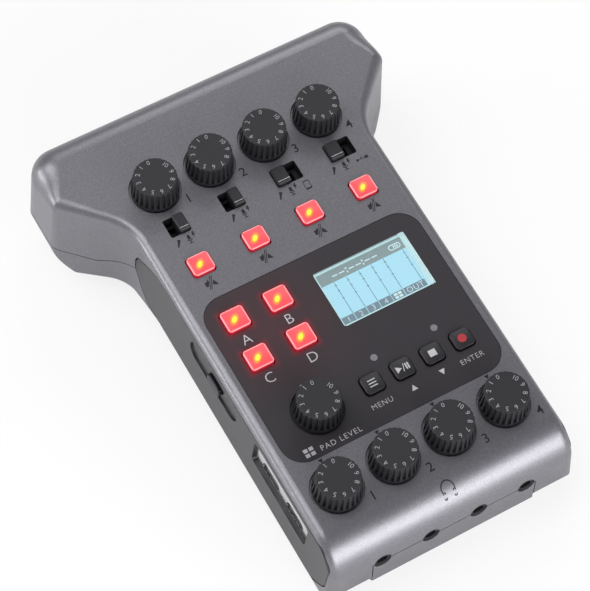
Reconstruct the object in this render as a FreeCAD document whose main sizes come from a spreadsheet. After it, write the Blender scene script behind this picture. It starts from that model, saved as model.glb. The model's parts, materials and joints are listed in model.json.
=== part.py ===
"""Four-channel hand-held recorder: a T-shaped body whose panel leans six degrees.

Everything is laid out in the panel's own frame, in millimetres: X to the right, Y to the
rear, Z square to the panel and up, with zero on the panel's middle line and on its face.
At the end each piece gets one common placement that leans the panel back and stands the
feet on the ground, with the origin under the middle of the whole recorder.
"""
import FreeCAD, Part
import math
import os
import re
import Sketcher

doc = FreeCAD.newDocument("Recorder")
V = FreeCAD.Vector
ROT = FreeCAD.Rotation

# Sizes in millimetres and degrees. Depths below the panel's face are written as positive numbers.
SIZES = {
    # Casing, seen from above.
    "body_half": 40.6,        # half the width of the hand grip, at the casing seam
    "wing_half": 57.0,        # half the width of the rear end, at the casing seam
    "rear_y": 79.6,           # rear face
    "front_y": -79.2,         # foot of the front face
    "nose_lean": 2.6,         # how far the front face leans back from its foot to its top
    "wing_front_y": 57.7,     # corner where the rear end's side meets its slanting front wall
    "neck_y": 41.4,           # corner where the slanting wall meets the grip
    "rear_corner": 9.5,
    "wing_corner": 4.0,
    "neck_round": 15.0,
    "draft": 3.5,             # lean of all the side walls
    # Casing, seen from the side.
    "seam_rear": 24.0,        # depth of the seam round the rear end
    "seam_neck": 16.0,        # depth of the seam where it meets the side panels
    "seam_front": 12.0,       # depth of the seam at the front
    "deep": 39.0,             # underside of the rear end
    "shallow": 26.0,          # underside of the grip
    "slope_rear": 63.0,
    "slope_front": 22.0,
    "bend": 14.0,
    "front_round": 11.8,      # round of the front edge, from above
    "cheek_round": 10.0,      # round under the two front corners
    "nose_round": 6.5,        # round under the middle of the front
    "keel_round": 16.0,       # round under the sides of the rear end
    "tail_round": 10.0,       # round under the rear face
    "top_wall": 2.6,
    "side_wall": 3.6,
    "wing_wall": 4.0,
    "floor_wall": 2.4,
    "seam_gap": 0.3,
    "cheek_inner": 26.7,      # inner side of the front corners, which belong to the top shell
    "cheek_rear": 13.0,       # length of those corners
    "rim_grip": 2.6,          # rounds of the top edge along the grip, the wings and the rear
    "rim_wing": 8.0,
    "rim_rear": 6.5,
    "corner_round": 3.0,      # upright front corners
    "belly_round": 2.0,
    # Rotary dials.
    "dial_pitch": 18.0,
    "gain_y": 49.1,
    "phones_y": -57.0,
    "pad_dial_x": -20.0,
    "pad_dial_y": -34.0,
    "dial_base": 7.1,         # radius at the bottom
    "dial_top": 6.5,          # radius at the top
    "dial_foot": 0.8,         # height of the plain band under the flutes
    "dial_rise": 7.6,         # height above the panel
    "dial_edge": 0.35,
    "flute_count": 26,
    "flute_radius": 0.5,
    "well_gap": 0.7,
    "well_depth": 1.0,
    "well_wall": 0.9,         # wall round the well of the pad dial, under the control panel
    "dial_gap": 0.3,          # air under a dial
    "neck_radius": 3.0,
    "neck_gap": 0.5,
    "pin_radius": 1.5,
    "pin_fit": 0.05,
    "pin_length": 3.6,
    "pot_side": 9.8,
    "pot_gap": 0.3,
    # Boards.
    "board_depth": 7.3,       # upper face of both boards
    "board_thick": 1.2,
    "board_half": 35.4,
    "board_rear": 26.5,
    "board_neck": -62.5,
    "board_front": -72.8,
    "board_nose": 25.6,
    "input_front": 28.0,
    "input_rear": 56.5,
    # Buttons.
    "mute_y": 21.3,
    "mute_width": 6.9,
    "mute_depth": 6.4,
    "pad_left": -26.8,
    "pad_right": -12.9,
    "pad_rear": 1.2,
    "pad_front": -12.3,
    "pad_width": 7.2,
    "pad_depth": 6.8,
    "key_first": -2.5,
    "key_pitch": 9.83,
    "key_y": -34.4,
    "key_width": 6.2,
    "key_depth": 5.9,
    "lit_round": 0.8,         # upright corners of the lit buttons, of the dark keys and of their feet
    "key_round": 1.2,
    "foot_round": 2.2,
    "button_edge": 0.45,
    "button_rise": 1.0,
    "button_gap": 0.3,
    "lip": 0.6,               # how far a button's foot reaches past its hole
    "lip_thick": 0.8,
    "under_gap": 0.3,         # air between a button's foot and the wall over it
    "travel": 0.8,
    "tact_side": 4.8,
    "tact_rise": 1.8,
    "tact_gap": 0.3,          # air left under a button that is fully pressed
    "plunger": 1.5,
    # Control panel and screen.
    "panel_left": -35.0,
    "panel_right": 35.6,
    "panel_front": -46.7,
    "panel_rear": 9.85,
    "panel_corner": 7.0,
    "panel_thick": 1.3,
    "panel_drop": 0.1,
    "panel_gap": 0.15,
    "ledge": 3.0,
    "lens_x": 14.8,
    "lens_y": -6.0,
    "lens_width": 30.2,
    "lens_depth": 18.9,
    "lens_lip": 1.9,
    "lens_thick": 0.8,
    "lens_gap": 0.08,
    "module_width": 34.0,
    "module_depth": 24.0,
    "module_gap": 0.3,
    "glass_edge": 1.5,
    "lamp_radius": 1.05,
    "lamp_fit": 0.06,
    "lamp_left": 2.1,
    "lamp_right": 21.9,
    "lamp_y": -27.5,
    # Source switches.
    "slide_y": 35.85,
    "slide_depth": 6.3,
    "short_width": 6.6,
    "long_width": 8.6,
    "short_offset": 0.05,
    "long_offset": 0.3,
    "short_cap": 3.3,
    "long_cap": 4.3,
    "cap_gap": 0.3,
    "cap_rise": 1.5,
    "cap_edge": 0.3,
    "stem_width": 1.2,
    "stem_depth": 2.5,
    "stem_gap": 0.3,
    "stem_reach": 2.2,
    "switch_gap": 1.2,        # from the inner face of the wall to a switch body
    "switch_depth": 5.0,
    "switch_margin": 1.0,
    # Screws, feet.
    "screw_side": 32.8,
    "screw_rear_y": 41.0,
    "screw_mid_y": 15.6,
    "screw_front_x": 15.6,
    "screw_front_y": -67.0,
    "post_radius": 1.9,
    "shoulder_radius": 2.6,
    "tower_radius": 3.6,
    "tower_top": 21.0,
    "post_gap": 0.3,
    "screw_radius": 1.0,
    "screw_fit": 0.05,
    "screw_head": 2.1,
    "screw_head_rise": 1.4,
    "screw_grip": 7.0,
    "screw_floor": 1.6,
    "foot_radius": 5.0,
    "foot_sink": 0.6,
    "foot_rear_x": 38.0,
    "foot_rear_y": 68.5,
    "foot_front_x": 20.5,
    "foot_front_y": -60.0,
    "foot_proud": 2.0,        # how far the front feet stand out of the underside
    "lean": 6.0,              # lean of the panel over the ground
    # Batteries.
    "bay_half": 29.0,
    "bay_front": -45.5,
    "bay_rear": -12.5,
    "bay_wall": 1.2,
    "bay_roof": 0.8,
    "bay_gap": 0.3,
    "cell_radius": 7.25,
    "cell_length": 50.5,
    "cell_nub": 1.2,
    "nub_radius": 2.7,
    "cell_gap": 0.2,
    "contact_thick": 0.4,
    "contact_side": 10.0,
    "spring_radius": 3.2,
    "door_thick": 1.3,
    "door_gap": 0.3,
    # Headphone and phone jacks.
    "jack_pitch": 15.6,
    "jack_depth": 12.0,
    "jack_width": 7.0,
    "jack_length": 13.0,
    "jack_bore": 1.8,
    "jack_bore_length": 11.5,
    "jack_ring": 2.6,
    "jack_ring_gap": 0.1,
    "jack_sink": 1.8,         # from the foot of the front face to the mouths of the headphone jacks
    "phone_y": -55.0,
    # Microphone sockets.
    "mic_pitch": 26.0,
    "mic_depth": 20.5,
    "mic_width": 22.0,
    "mic_height": 22.0,
    "mic_length": 14.4,
    "mic_ring": 10.9,
    "mic_ring_gap": 0.25,
    "mic_bore": 9.7,
    "mic_bore_length": 13.5,
    "mic_core": 7.8,
    "mic_core_sink": 2.5,
    "mic_contact": 1.3,
    "mic_contact_circle": 4.8,
    "mic_contact_length": 8.5,
    "mic_sink": 0.4,
    "latch_width": 8.0,
    "latch_rise": 2.8,
    "latch_length": 6.6,
    "latch_sink": 1.4,
    "latch_gap": 0.3,
    "latch_travel": 0.8,
    # Side panels and what is in them.
    "side_thick": 1.4,
    "side_recess": 1.6,
    "side_gap": 0.15,
    "side_edge": 0.35,
    "side_top": 2.0,
    "side_bottom": 24.6,
    "side_front": -75.2,
    "side_tip": 37.0,
    "usb_first_y": -41.9,
    "usb_second_y": -55.2,
    "usb_depth": 10.6,
    "usb_width": 8.94,
    "usb_height": 3.26,
    "usb_wall": 0.32,
    "usb_length": 7.3,
    "usb_tongue": 0.7,
    "usb_gap": 0.25,
    "shield_front": -63.0,
    "shield_rear": -33.0,
    "shield_top": 3.6,
    "shield_bottom": 14.2,
    "shield_thick": 0.35,
    "shield_gap": 0.1,
    "power_y": -10.5,
    "power_depth": 8.0,
    "power_well_front": -23.0,
    "power_well_rear": 4.0,
    "power_well_height": 7.6,
    "power_well": 0.6,
    "power_cap": 7.0,
    "power_cap_height": 3.4,
    "power_rise": 1.0,
    "power_travel": 2.0,
    "power_stem": 3.0,
    "power_stem_height": 1.4,
    "card_y": 1.2,
    "card_width": 24.4,
    "card_height": 2.6,
    "card_slit": 1.6,
    "card_length": 24.0,
    "card_wall": 0.8,
}

sheet = doc.addObject("Spreadsheet::Sheet", "Sizes")
for row, (alias, value) in enumerate(SIZES.items(), 1):
    sheet.set("A%d" % row, alias)
    sheet.set("B%d" % row, str(value))
    sheet.setAlias("B%d" % row, alias)
doc.recompute()

WORD = re.compile(r"\b[a-z_]+\b")


def bound(text):
    """The same sum with each size written as a cell of the sheet."""
    return WORD.sub(lambda found: ("Sizes." if found.group() in SIZES else "") + found.group(), str(text))


def size(text):
    """The number that a sum of sizes comes to."""
    return float(sheet.evalExpression(bound(text)))


def bind(thing, **sums):
    for name, text in sums.items():
        thing.setExpression(name.replace("__", "."), bound(text))


# Solid pieces and booleans.

def box(name, x, y, z):
    """A block between two bounds along each axis."""
    thing = doc.addObject("Part::Box", name)
    bind(thing, Length="(%s) - (%s)" % (x[1], x[0]), Width="(%s) - (%s)" % (y[1], y[0]))
    bind(thing, Height="(%s) - (%s)" % (z[1], z[0]))
    bind(thing, Placement__Base__x=x[0], Placement__Base__y=y[0], Placement__Base__z=z[0])
    return thing


TURN = {
    "X": ROT(V(0, 1, 0), 90),
    "Y": ROT(V(1, 0, 0), -90),
    "Z": ROT(),
}


def rod(name, axis, radius, at, length):
    """A round rod that starts at a point and runs along an axis."""
    thing = doc.addObject("Part::Cylinder", name)
    thing.Placement = FreeCAD.Placement(V(), TURN[axis])
    bind(thing, Radius=radius, Height=length)
    bind(thing, Placement__Base__x=at[0], Placement__Base__y=at[1], Placement__Base__z=at[2])
    return thing


def group(name, things):
    thing = doc.addObject("Part::Compound", name)
    thing.Links = things
    return thing


def fuse(name, *things):
    thing = doc.addObject("Part::MultiFuse", name)
    thing.Shapes = list(things)
    thing.Refine = True
    return thing


def cut(name, base, *tools):
    thing = doc.addObject("Part::Cut", name)
    thing.Base = base
    thing.Tool = tools[0] if len(tools) == 1 else group(name + "_tools", list(tools))
    return thing


def common(name, first, second):
    thing = doc.addObject("Part::Common", name)
    thing.Base = first
    thing.Tool = second
    thing.Refine = True
    return thing


# Bodies with sketches.

def new_body(name):
    return doc.addObject("PartDesign::Body", name)


def datum(body, role):
    """A body's own plane or axis, by its role."""
    return next(part for part in body.Origin.OriginFeatures if part.Role == role)


def new_sketch(body, name, role, offset=None):
    sketch = body.newObject("Sketcher::SketchObject", name)
    sketch.AttachmentSupport = [(datum(body, role), "")]
    sketch.MapMode = "FlatFace"
    if offset is not None:
        bind(sketch, AttachmentOffset__Base__z=offset)
    return sketch


def hold(sketch, kind, where, value, text):
    """A distance, radius or angle in a sketch that follows a sum of sizes."""
    constraint = sketch.addConstraint(Sketcher.Constraint(kind, *where, value))
    sketch.setExpression("Constraints[%d]" % constraint, bound(text))


def outline(body, name, role, corners, offset=None):
    """A closed outline through corners of the form (x, y) or (x, y, round)."""
    sketch = new_sketch(body, name, role, offset)
    points = [V(size(corner[0]), size(corner[1]), 0) for corner in corners]
    rounds = [size(corner[2]) if len(corner) > 2 else 0.0 for corner in corners]
    count = len(points)
    ends = []
    for i in range(count):
        back = (points[i - 1] - points[i]).normalize()
        ahead = (points[(i + 1) % count] - points[i]).normalize()
        half = back.getAngle(ahead) / 2
        reach = rounds[i] / math.tan(half) if rounds[i] else 0.0
        ends.append((points[i] + back * reach, points[i] + ahead * reach, back, ahead, half))
    for i in range(count):
        sketch.addGeometry(Part.LineSegment(ends[i][1], ends[(i + 1) % count][0]), False)
    for i in range(count):
        before = (i - 1) % count
        if rounds[i]:
            start, end, back, ahead, half = ends[i]
            centre = points[i] + (back + ahead).normalize() * (rounds[i] / math.sin(half))
            middle = centre + (points[i] - centre).normalize() * rounds[i]
            left_turn = (back * -1).cross(ahead).z > 0
            path = (start, middle, end) if left_turn else (end, middle, start)
            arc = sketch.addGeometry(Part.Arc(*path), False)
            first, last = (1, 2) if left_turn else (2, 1)
            mark = sketch.addGeometry(Part.Point(points[i]), True)
            sketch.addConstraint(Sketcher.Constraint("PointOnObject", mark, 1, before))
            sketch.addConstraint(Sketcher.Constraint("PointOnObject", mark, 1, i))
            sketch.addConstraint(Sketcher.Constraint("Tangent", before, 2, arc, first))
            sketch.addConstraint(Sketcher.Constraint("Tangent", arc, last, i, 1))
            hold(sketch, "Radius", (arc,), rounds[i], corners[i][2])
            target = (mark, 1)
        else:
            sketch.addConstraint(Sketcher.Constraint("Coincident", before, 2, i, 1))
            target = (i, 1)
        hold(sketch, "DistanceX", (-1, 1) + target, points[i].x, corners[i][0])
        hold(sketch, "DistanceY", (-1, 1) + target, points[i].y, corners[i][1])
    return sketch


def rounded(x, y, width, depth, radius):
    """Corners of a rounded rectangle about a centre."""
    signs = ((1, 1), (-1, 1), (-1, -1), (1, -1))
    corners = []
    for across, along in signs:
        px = "(%s) + %d * (%s) / 2" % (x, across, width)
        py = "(%s) + %d * (%s) / 2" % (y, along, depth)
        corners.append((px, py, radius))
    return corners


def circle(body, name, role, x, y, radius, offset=None):
    sketch = new_sketch(body, name, role, offset)
    ring = sketch.addGeometry(Part.Circle(V(size(x), size(y), 0), V(0, 0, 1), size(radius)), False)
    hold(sketch, "Radius", (ring,), size(radius), radius)
    hold(sketch, "DistanceX", (-1, 1, ring, 3), size(x), x)
    hold(sketch, "DistanceY", (-1, 1, ring, 3), size(y), y)
    return sketch


def pad(body, sketch, length, down=False):
    feature = body.newObject("PartDesign::Pad", sketch.Name + "_pad")
    feature.Profile = sketch
    feature.Reversed = down
    bind(feature, Length=length)
    sketch.Visibility = False
    return feature


def pocket(body, sketch, length, up=False):
    """Cuts against the sketch's normal, or along it where up is set."""
    feature = body.newObject("PartDesign::Pocket", sketch.Name + "_pocket")
    feature.Profile = sketch
    feature.Reversed = up
    bind(feature, Length=length)
    sketch.Visibility = False
    return feature


def dress(body, kind, base, wanted, amount):
    """A fillet or chamfer on the edges that a test picks."""
    doc.recompute()
    names = ["Edge%d" % i for i, edge in enumerate(base.Shape.Edges, 1) if wanted(edge)]
    feature = body.newObject("PartDesign::" + kind, "%s_%s" % (base.Name, kind.lower()))
    feature.Base = (base, names)
    if kind == "Fillet":
        bind(feature, Radius=amount)
    else:
        bind(feature, Size=amount)
    return feature


def slab(name, corners, bottom, top):
    """A flat piece with a rounded outline, between two heights."""
    body = new_body(name)
    sketch = outline(body, name + "_outline", "XY_Plane", corners, bottom)
    pad(body, sketch, "(%s) - (%s)" % (top, bottom))
    return body


def at_height(edge, height):
    bounds = edge.BoundBox
    return abs(bounds.ZMin - height) < 1e-4 and abs(bounds.ZMax - height) < 1e-4


nodes = {}


def node(label, thing, place=None):
    """Names a finished piece and keeps how it lies in the panel's frame."""
    thing.Label = label
    nodes[label] = (thing, place or FreeCAD.Placement())


# Casing forms: a plan outline with leaning walls, met by a side outline and a front outline.

def ramp(value, knots):
    for (low, first), (high, second) in zip(knots, knots[1:]):
        if value <= high:
            share = max(0.0, min(1.0, (value - low) / (high - low)))
            return first + (second - first) * share
    return knots[-1][1]


def casing(name, top, bottom, grip, wing):
    """The casing's form, inset from the outside by four wall thicknesses."""
    spread = "(deep - seam_rear) * tan(draft * 1deg)"
    half = "body_half + %s - %s" % (spread, grip)
    wide = "wing_half + %s - %s" % (spread, wing)
    back = "rear_y + %s - %s" % (spread, wing)
    wing_shift = "(sqrt(2) - 1) * (%s - %s)" % (wing, spread)
    neck_shift = "sqrt(2) * %s - %s - (sqrt(2) - 1) * %s" % (wing, grip, spread)
    right = [
        (wide, back, "max(rear_corner + %s - %s; 0.4)" % (spread, wing)),
        (wide, "wing_front_y + " + wing_shift, "max(wing_corner + %s - %s; 0.4)" % (spread, wing)),
        (half, "neck_y + " + neck_shift, "neck_round - %s + %s" % (spread, wing)),
        (half, "front_y - 5"),
    ]
    left = [("-(%s)" % corner[0],) + corner[1:] for corner in reversed(right)]
    plan = new_body(name + "_plan")
    sketch = outline(plan, name + "_plan_outline", "XY_Plane", right + left, "-deep")
    raised = pad(plan, sketch, "deep - (%s)" % top)
    bind(raised, TaperAngle="-draft")
    low = "%s - deep" % bottom
    mid = "%s - shallow" % bottom
    high = "-(%s)" % top
    foot = "front_y + %s" % bottom
    brow = "front_y + nose_lean + %s" % bottom
    tail = "rear_y + 0.1 - (%s)" % wing
    side = new_body(name + "_side")
    corners = [
        (tail, high),
        (tail, low, "tail_round - (%s)" % bottom),
        ("slope_rear + %s" % bottom, low, "bend"),
        ("slope_front + %s" % bottom, mid, "bend"),
        (foot, mid),
        (brow, high, "front_round - (%s)" % bottom),
    ]
    sketch = outline(side, name + "_side_outline", "YZ_Plane", corners)
    across = pad(side, sketch, "3 * wing_half")
    across.Midplane = True
    edge = "wing_half + 0.3 - (%s)" % wing
    front = new_body(name + "_front")
    corners = [
        (edge, high),
        (edge, low, "keel_round - (%s)" % wing),
        ("-(%s)" % edge, low, "keel_round - (%s)" % wing),
        ("-(%s)" % edge, high),
    ]
    sketch = outline(front, name + "_front_outline", "XZ_Plane", corners)
    along = pad(front, sketch, "4 * rear_y")
    along.Midplane = True
    form = common(name + "_form", common(name + "_prism", plan, side), front)
    doc.recompute()
    return form


def middle(edge):
    return edge.valueAt((edge.FirstParameter + edge.LastParameter) / 2)


def soften(base, name, wanted, law):
    """Rounds the chosen edges, each with its own radius at both ends."""
    picks = []
    for i, edge in enumerate(base.Shape.Edges, 1):
        if wanted(edge):
            first = edge.valueAt(edge.FirstParameter)
            last = edge.valueAt(edge.LastParameter)
            picks.append((i, law(first), law(last)))
    thing = doc.addObject("Part::Fillet", name)
    thing.Base = base
    thing.Edges = picks
    doc.recompute()
    return thing


def on_rim(edge):
    """The top edge all round, and the front corners from it down to the underside."""
    point = middle(edge)
    bounds = edge.BoundBox
    if bounds.XLength > size("body_half") and point.y < 0:
        return False
    if abs(point.z) < 1e-3:
        return True
    near = point.y < size("front_y + front_round") + 0.1
    return near and bounds.ZLength > 5 and abs(point.x) > size("body_half") * 0.75


def rim_law(point):
    if point.z > -0.01:
        grip = size("rim_grip")
        mid = size("wing_front_y")
        return ramp(point.y, [
            (size("wing_front_y - 6"), grip),
            (mid + 2, grip + 1),
            (size("rear_y - 11"), size("rim_wing")),
            (size("rear_y - 2"), size("rim_rear")),
        ])
    return ramp(point.z, [(-size("front_round"), size("corner_round")), (0, size("rim_grip"))])


def on_belly(edge):
    """The two long lower edges of the grip."""
    point = middle(edge)
    bounds = edge.BoundBox
    low = abs(point.z + size("shallow")) < 1e-3 and bounds.XLength < 2
    return low and bounds.YLength > size("body_half") and abs(point.x) > size("body_half") * 0.9


outer = casing("outer", "0", "0", "0", "0")
outer_rim = soften(outer, "outer_rim", on_rim, rim_law)
outer_belly = soften(outer_rim, "outer_belly", on_belly, lambda point: size("belly_round"))
cavity_form = casing("cavity", "top_wall", "floor_wall", "side_wall", "wing_wall")

# The underside of the front edge is rounded, more under the two corners than in the middle.

FAR = "2 * wing_half"


def front_undercut(name, radius, x):
    block = box(name + "_block", x, ("front_y - 5", "front_y + " + radius),
                ("-shallow - 5", radius + " - shallow"))
    round_ = rod(name + "_round", "X", radius, (x[0], "front_y + " + radius, radius + " - shallow"),
                 "(%s) - (%s)" % (x[1], x[0]))
    return cut(name, block, round_)


undercuts = [
    front_undercut("undercut_left", "cheek_round", ("-" + FAR, "-cheek_inner")),
    front_undercut("undercut_right", "cheek_round", ("cheek_inner", FAR)),
    front_undercut("undercut_middle", "nose_round", ("-cheek_inner", "cheek_inner")),
]
skin = cut("skin", outer_belly, *undercuts)


def cheek(name, side, grow):
    """The space of a front corner, with a gap round it."""
    inner = "cheek_inner - %s" % grow
    x = (inner, FAR) if side > 0 else ("-" + FAR, "-(%s)" % inner)
    return box(name, x, ("front_y - 5", "front_y + cheek_rear + " + grow),
               ("-shallow - 5", "-seam_front - " + grow))


def cheek_core(name, side):
    """The front corners are solid inside, down from the seam."""
    x = ("cheek_inner + 0.6", FAR) if side > 0 else ("-" + FAR, "-cheek_inner - 0.6")
    return box(name, x, ("front_y - 5", "front_y + cheek_rear + 2"), ("-shallow - 5", "2 - seam_front"))


hollow = cut("hollow_form", cavity_form, cheek_core("core_left", -1), cheek_core("core_right", 1))
shell = cut("shell_form", skin, hollow)


def seam(name, below, drop):
    """The space over or under the seam, as a prism across the whole width."""
    far = "4 * rear_y"
    rise = "deep" if not below else "-2 * deep"
    rear = "-seam_rear - " + drop
    neck = "-seam_neck - " + drop
    nose = "-seam_front - " + drop
    body = new_body(name)
    corners = [
        (far, rise),
        ("-(%s)" % far, rise),
        ("-(%s)" % far, nose),
        ("front_y + cheek_rear", nose),
        ("side_tip - 1", neck),
        ("side_tip + 11", rear),
        (far, rear),
    ]
    if below:
        corners.reverse()
    sketch = outline(body, name + "_outline", "YZ_Plane", corners)
    across = pad(body, sketch, "4 * wing_half")
    across.Midplane = True
    return body


upper_shell = common("upper_shell", shell, seam("over_seam", False, "0"))
lower_shell = common("lower_shell", shell, seam("under_seam", True, "seam_gap"))
cheeks = common("cheeks", shell,
                group("cheek_spaces", [cheek("cheek_left", -1, "0"), cheek("cheek_right", 1, "0")]))

# Places that several pieces share.

DIALS = ["(%s) * dial_pitch" % k for k in (-1.5, -0.5, 0.5, 1.5)]
MICS = ["(%s) * mic_pitch" % k for k in (-1.5, -0.5, 0.5, 1.5)]
JACKS = ["(%s) * jack_pitch" % k for k in (-1.5, -0.5, 0.5, 1.5)]
PADS = [("pad_left", "pad_rear"), ("pad_right", "pad_rear"), ("pad_left", "pad_front"),
        ("pad_right", "pad_front")]
KEYS = [("key_first + %d * key_pitch" % k, "key_y") for k in range(4)]
SCREWS = [
    ("screw_front_x", "screw_front_y"),
    ("-screw_front_x", "screw_front_y"),
    ("screw_side", "screw_mid_y"),
    ("-screw_side", "screw_mid_y"),
    ("screw_side", "screw_rear_y"),
    ("-screw_side", "screw_rear_y"),
]
# Source switches: middle of the window, its width, the cap's width and the side it rests on.
SLIDES = [
    ("-1.5 * dial_pitch + short_offset", "short_width", "short_cap", 1),
    ("-0.5 * dial_pitch + short_offset", "short_width", "short_cap", 1),
    ("0.5 * dial_pitch + long_offset", "long_width", "long_cap", -1),
    ("1.5 * dial_pitch + long_offset", "long_width", "long_cap", -1),
]
FEET = [
    ("foot_front_x", "foot_front_y"),
    ("-foot_front_x", "foot_front_y"),
    ("foot_rear_x", "foot_rear_y"),
    ("-foot_rear_x", "foot_rear_y"),
]
UPRIGHT = ROT(V(1, 0, 0), -size("lean"))


def ground_depth(y):
    """Height of the ground in the panel's frame, under a place on the underside."""
    return "-shallow - foot_proud - ((%s) - foot_front_y) * tan(lean * 1deg)" % y


# Side panels lie in leaning recesses, so they are drawn flat and then leaned with the wall.

SIDE_LEAN = {
    1: FreeCAD.Placement(V(size("body_half"), 0, -size("seam_rear")), ROT(V(0, 1, 0), -size("draft"))),
    -1: FreeCAD.Placement(V(-size("body_half"), 0, -size("seam_rear")), ROT(V(0, 1, 0), size("draft"))),
}


def boat(grow):
    """The side panel's outline: a long boat with a pointed rear end."""
    top = "seam_rear - side_top + " + grow
    bottom = "seam_rear - side_bottom - " + grow
    tip = "side_tip + " + grow
    nose = "side_front - " + grow
    return [
        ("side_tip - 12.2", top, "20"),
        (tip, top + " - 7.5", "5"),
        (tip, bottom + " + 8.5", "5"),
        ("side_tip - 7.2", bottom, "9"),
        ("side_front + 6", bottom, "7"),
        (nose, bottom + " + 6.4", "5"),
        (nose, top + " - 4.4", "4.5"),
        ("side_front + 4.8", top, "4.5"),
    ]


def side_slab(name, side, corners, inner, outer_face):
    """A leaning slab between two depths under the side wall's face."""
    body = new_body(name)
    start = "-(%s)" % (inner if side > 0 else outer_face)
    sketch = outline(body, name + "_outline", "YZ_Plane", corners, start)
    feature = pad(body, sketch, "(%s) + (%s)" % (inner, outer_face))
    return body, feature


def leaning(thing, side):
    thing.Placement = SIDE_LEAN[side]
    return thing


side_recesses = []
for side in (-1, 1):
    name = "left_recess" if side < 0 else "right_recess"
    recess, _ = side_slab(name, side, boat("side_gap"), "side_recess", "5")
    side_recesses.append(leaning(recess, side))

# Holes that both shells share: microphone sockets, headphone jacks, ports in the sides.

mic_holes = [
    rod("mic_hole", "Y", "mic_ring + mic_ring_gap", (x, "rear_y - wing_wall - 3", "-mic_depth"),
        "wing_wall + 10")
    for x in MICS
]
jack_holes = [
    rod("jack_hole", "Y", "jack_ring + jack_ring_gap", (x, "front_y - 5", "-jack_depth"),
        "floor_wall + nose_lean + 5.5")
    for x in JACKS
]


def port(name, side, y, z, width, height):
    """A square hole through the wall behind a side panel."""
    x = ("body_half - side_wall - 3", "body_half + 3")
    if side < 0:
        x = ("-(%s)" % x[1], "-(%s)" % x[0])
    return box(name, x, ("(%s) - (%s) / 2" % (y, width), "(%s) + (%s) / 2" % (y, width)),
               ("(%s) - (%s) / 2" % (z, height), "(%s) + (%s) / 2" % (z, height)))


POWER_BODY = ("power_stem + 2 * power_travel + 3", "power_cap_height")
ports = [
    port("usb_hole_rear", -1, "usb_first_y", "-usb_depth", "usb_width + 2 * usb_gap",
         "usb_height + 2 * usb_gap"),
    port("usb_hole_front", -1, "usb_second_y", "-usb_depth", "usb_width + 2 * usb_gap",
         "usb_height + 2 * usb_gap"),
    port("power_hole", -1, "power_y", "-power_depth", POWER_BODY[0] + " + 0.5", POWER_BODY[1] + " + 0.5"),
    port("card_hole", 1, "card_y", "-board_depth - board_thick - card_height / 2", "card_width + 0.5",
         "card_height + 0.5"),
    port("phone_hole", 1, "phone_y", "-jack_depth", "jack_width + 5", "jack_width + 2"),
]

# Top shell.

window_bottom = "-top_wall - 5"
top_tools = []
for k, x in enumerate(DIALS):
    for y in ("gain_y", "phones_y"):
        top_tools.append(rod("dial_well", "Z", "dial_base + well_gap", (x, y, "-well_depth"),
                             "well_depth + 5"))
        top_tools.append(rod("dial_hole", "Z", "neck_radius + neck_gap", (x, y, window_bottom), "10"))
    corners = rounded(x, "mute_y", "mute_width + 2 * button_gap", "mute_depth + 2 * button_gap",
                      "lit_round + button_gap")
    top_tools.append(slab("mute_hole_%d" % (k + 1), corners, window_bottom, "5"))
for k, (x, width, cap, rest) in enumerate(SLIDES):
    corners = rounded(x, "slide_y", width, "slide_depth", "0.6")
    top_tools.append(slab("slide_window_%d" % (k + 1), corners, window_bottom, "5"))


def panel_corners(grow, radius):
    left = "panel_left - (%s)" % grow
    right = "panel_right + (%s)" % grow
    near = "panel_front - (%s)" % grow
    far = "panel_rear + (%s)" % grow
    return [(right, far, radius), (left, far, radius), (left, near, radius), (right, near, radius)]


panel_bottom = "-panel_drop - panel_thick"
top_tools.append(slab("panel_recess", panel_corners("panel_gap", "panel_corner + panel_gap"),
                      panel_bottom, "5"))
top_tools.append(slab("panel_window", panel_corners("-ledge", "panel_corner - ledge"), window_bottom, "5"))
latch_slots = []
for x in MICS:
    half = "latch_width / 2 + latch_gap"
    top = "mic_ring + mic_ring_gap - mic_depth + latch_travel + latch_rise + 2 * latch_gap"
    latch_slots.append(box("latch_slot", ("(%s) - (%s)" % (x, half), "(%s) + (%s)" % (x, half)),
                           ("rear_y - wing_wall - 6", "rear_y + 5"), ("-mic_depth", top)))

posts = []
for x, y in SCREWS:
    posts.append(rod("shoulder", "Z", "shoulder_radius", (x, y, "-board_depth"),
                     "board_depth - top_wall / 2"))
    posts.append(rod("post", "Z", "post_radius", (x, y, "-tower_top"), "tower_top - top_wall / 2"))
pilots = [
    rod("pilot", "Z", "screw_radius + screw_fit", (x, y, "-tower_top - 1"), "screw_grip + 2")
    for x, y in SCREWS
]

top_raw = fuse("top_raw", upper_shell, cheeks, *posts)
top_tools += pilots + mic_holes + latch_slots + jack_holes + ports + side_recesses
top_shell = cut("top_shell_cut", top_raw, *top_tools)
node("top_shell", top_shell)

# Bottom shell, with its battery bay, screw towers and seats for the feet.

bay_top = "-board_depth - board_thick - bay_gap"
bay_outer = box("bay_outer", ("-bay_half - bay_wall", "bay_half + bay_wall"),
                ("bay_front - bay_wall", "bay_rear + bay_wall"), ("floor_wall / 2 - shallow", bay_top))
bay_inner = box("bay_inner", ("-bay_half", "bay_half"), ("bay_front", "bay_rear"),
                ("-shallow - 5", bay_top + " - bay_roof"))


def underside(y):
    """Height of the outer underside at a place along the recorder."""
    if size(y) < size("slope_front"):
        return "-shallow"
    if size(y) > size("slope_rear"):
        return "-deep"
    return "-shallow - (deep - shallow) * ((%s) - slope_front) / (slope_rear - slope_front)" % y


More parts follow.
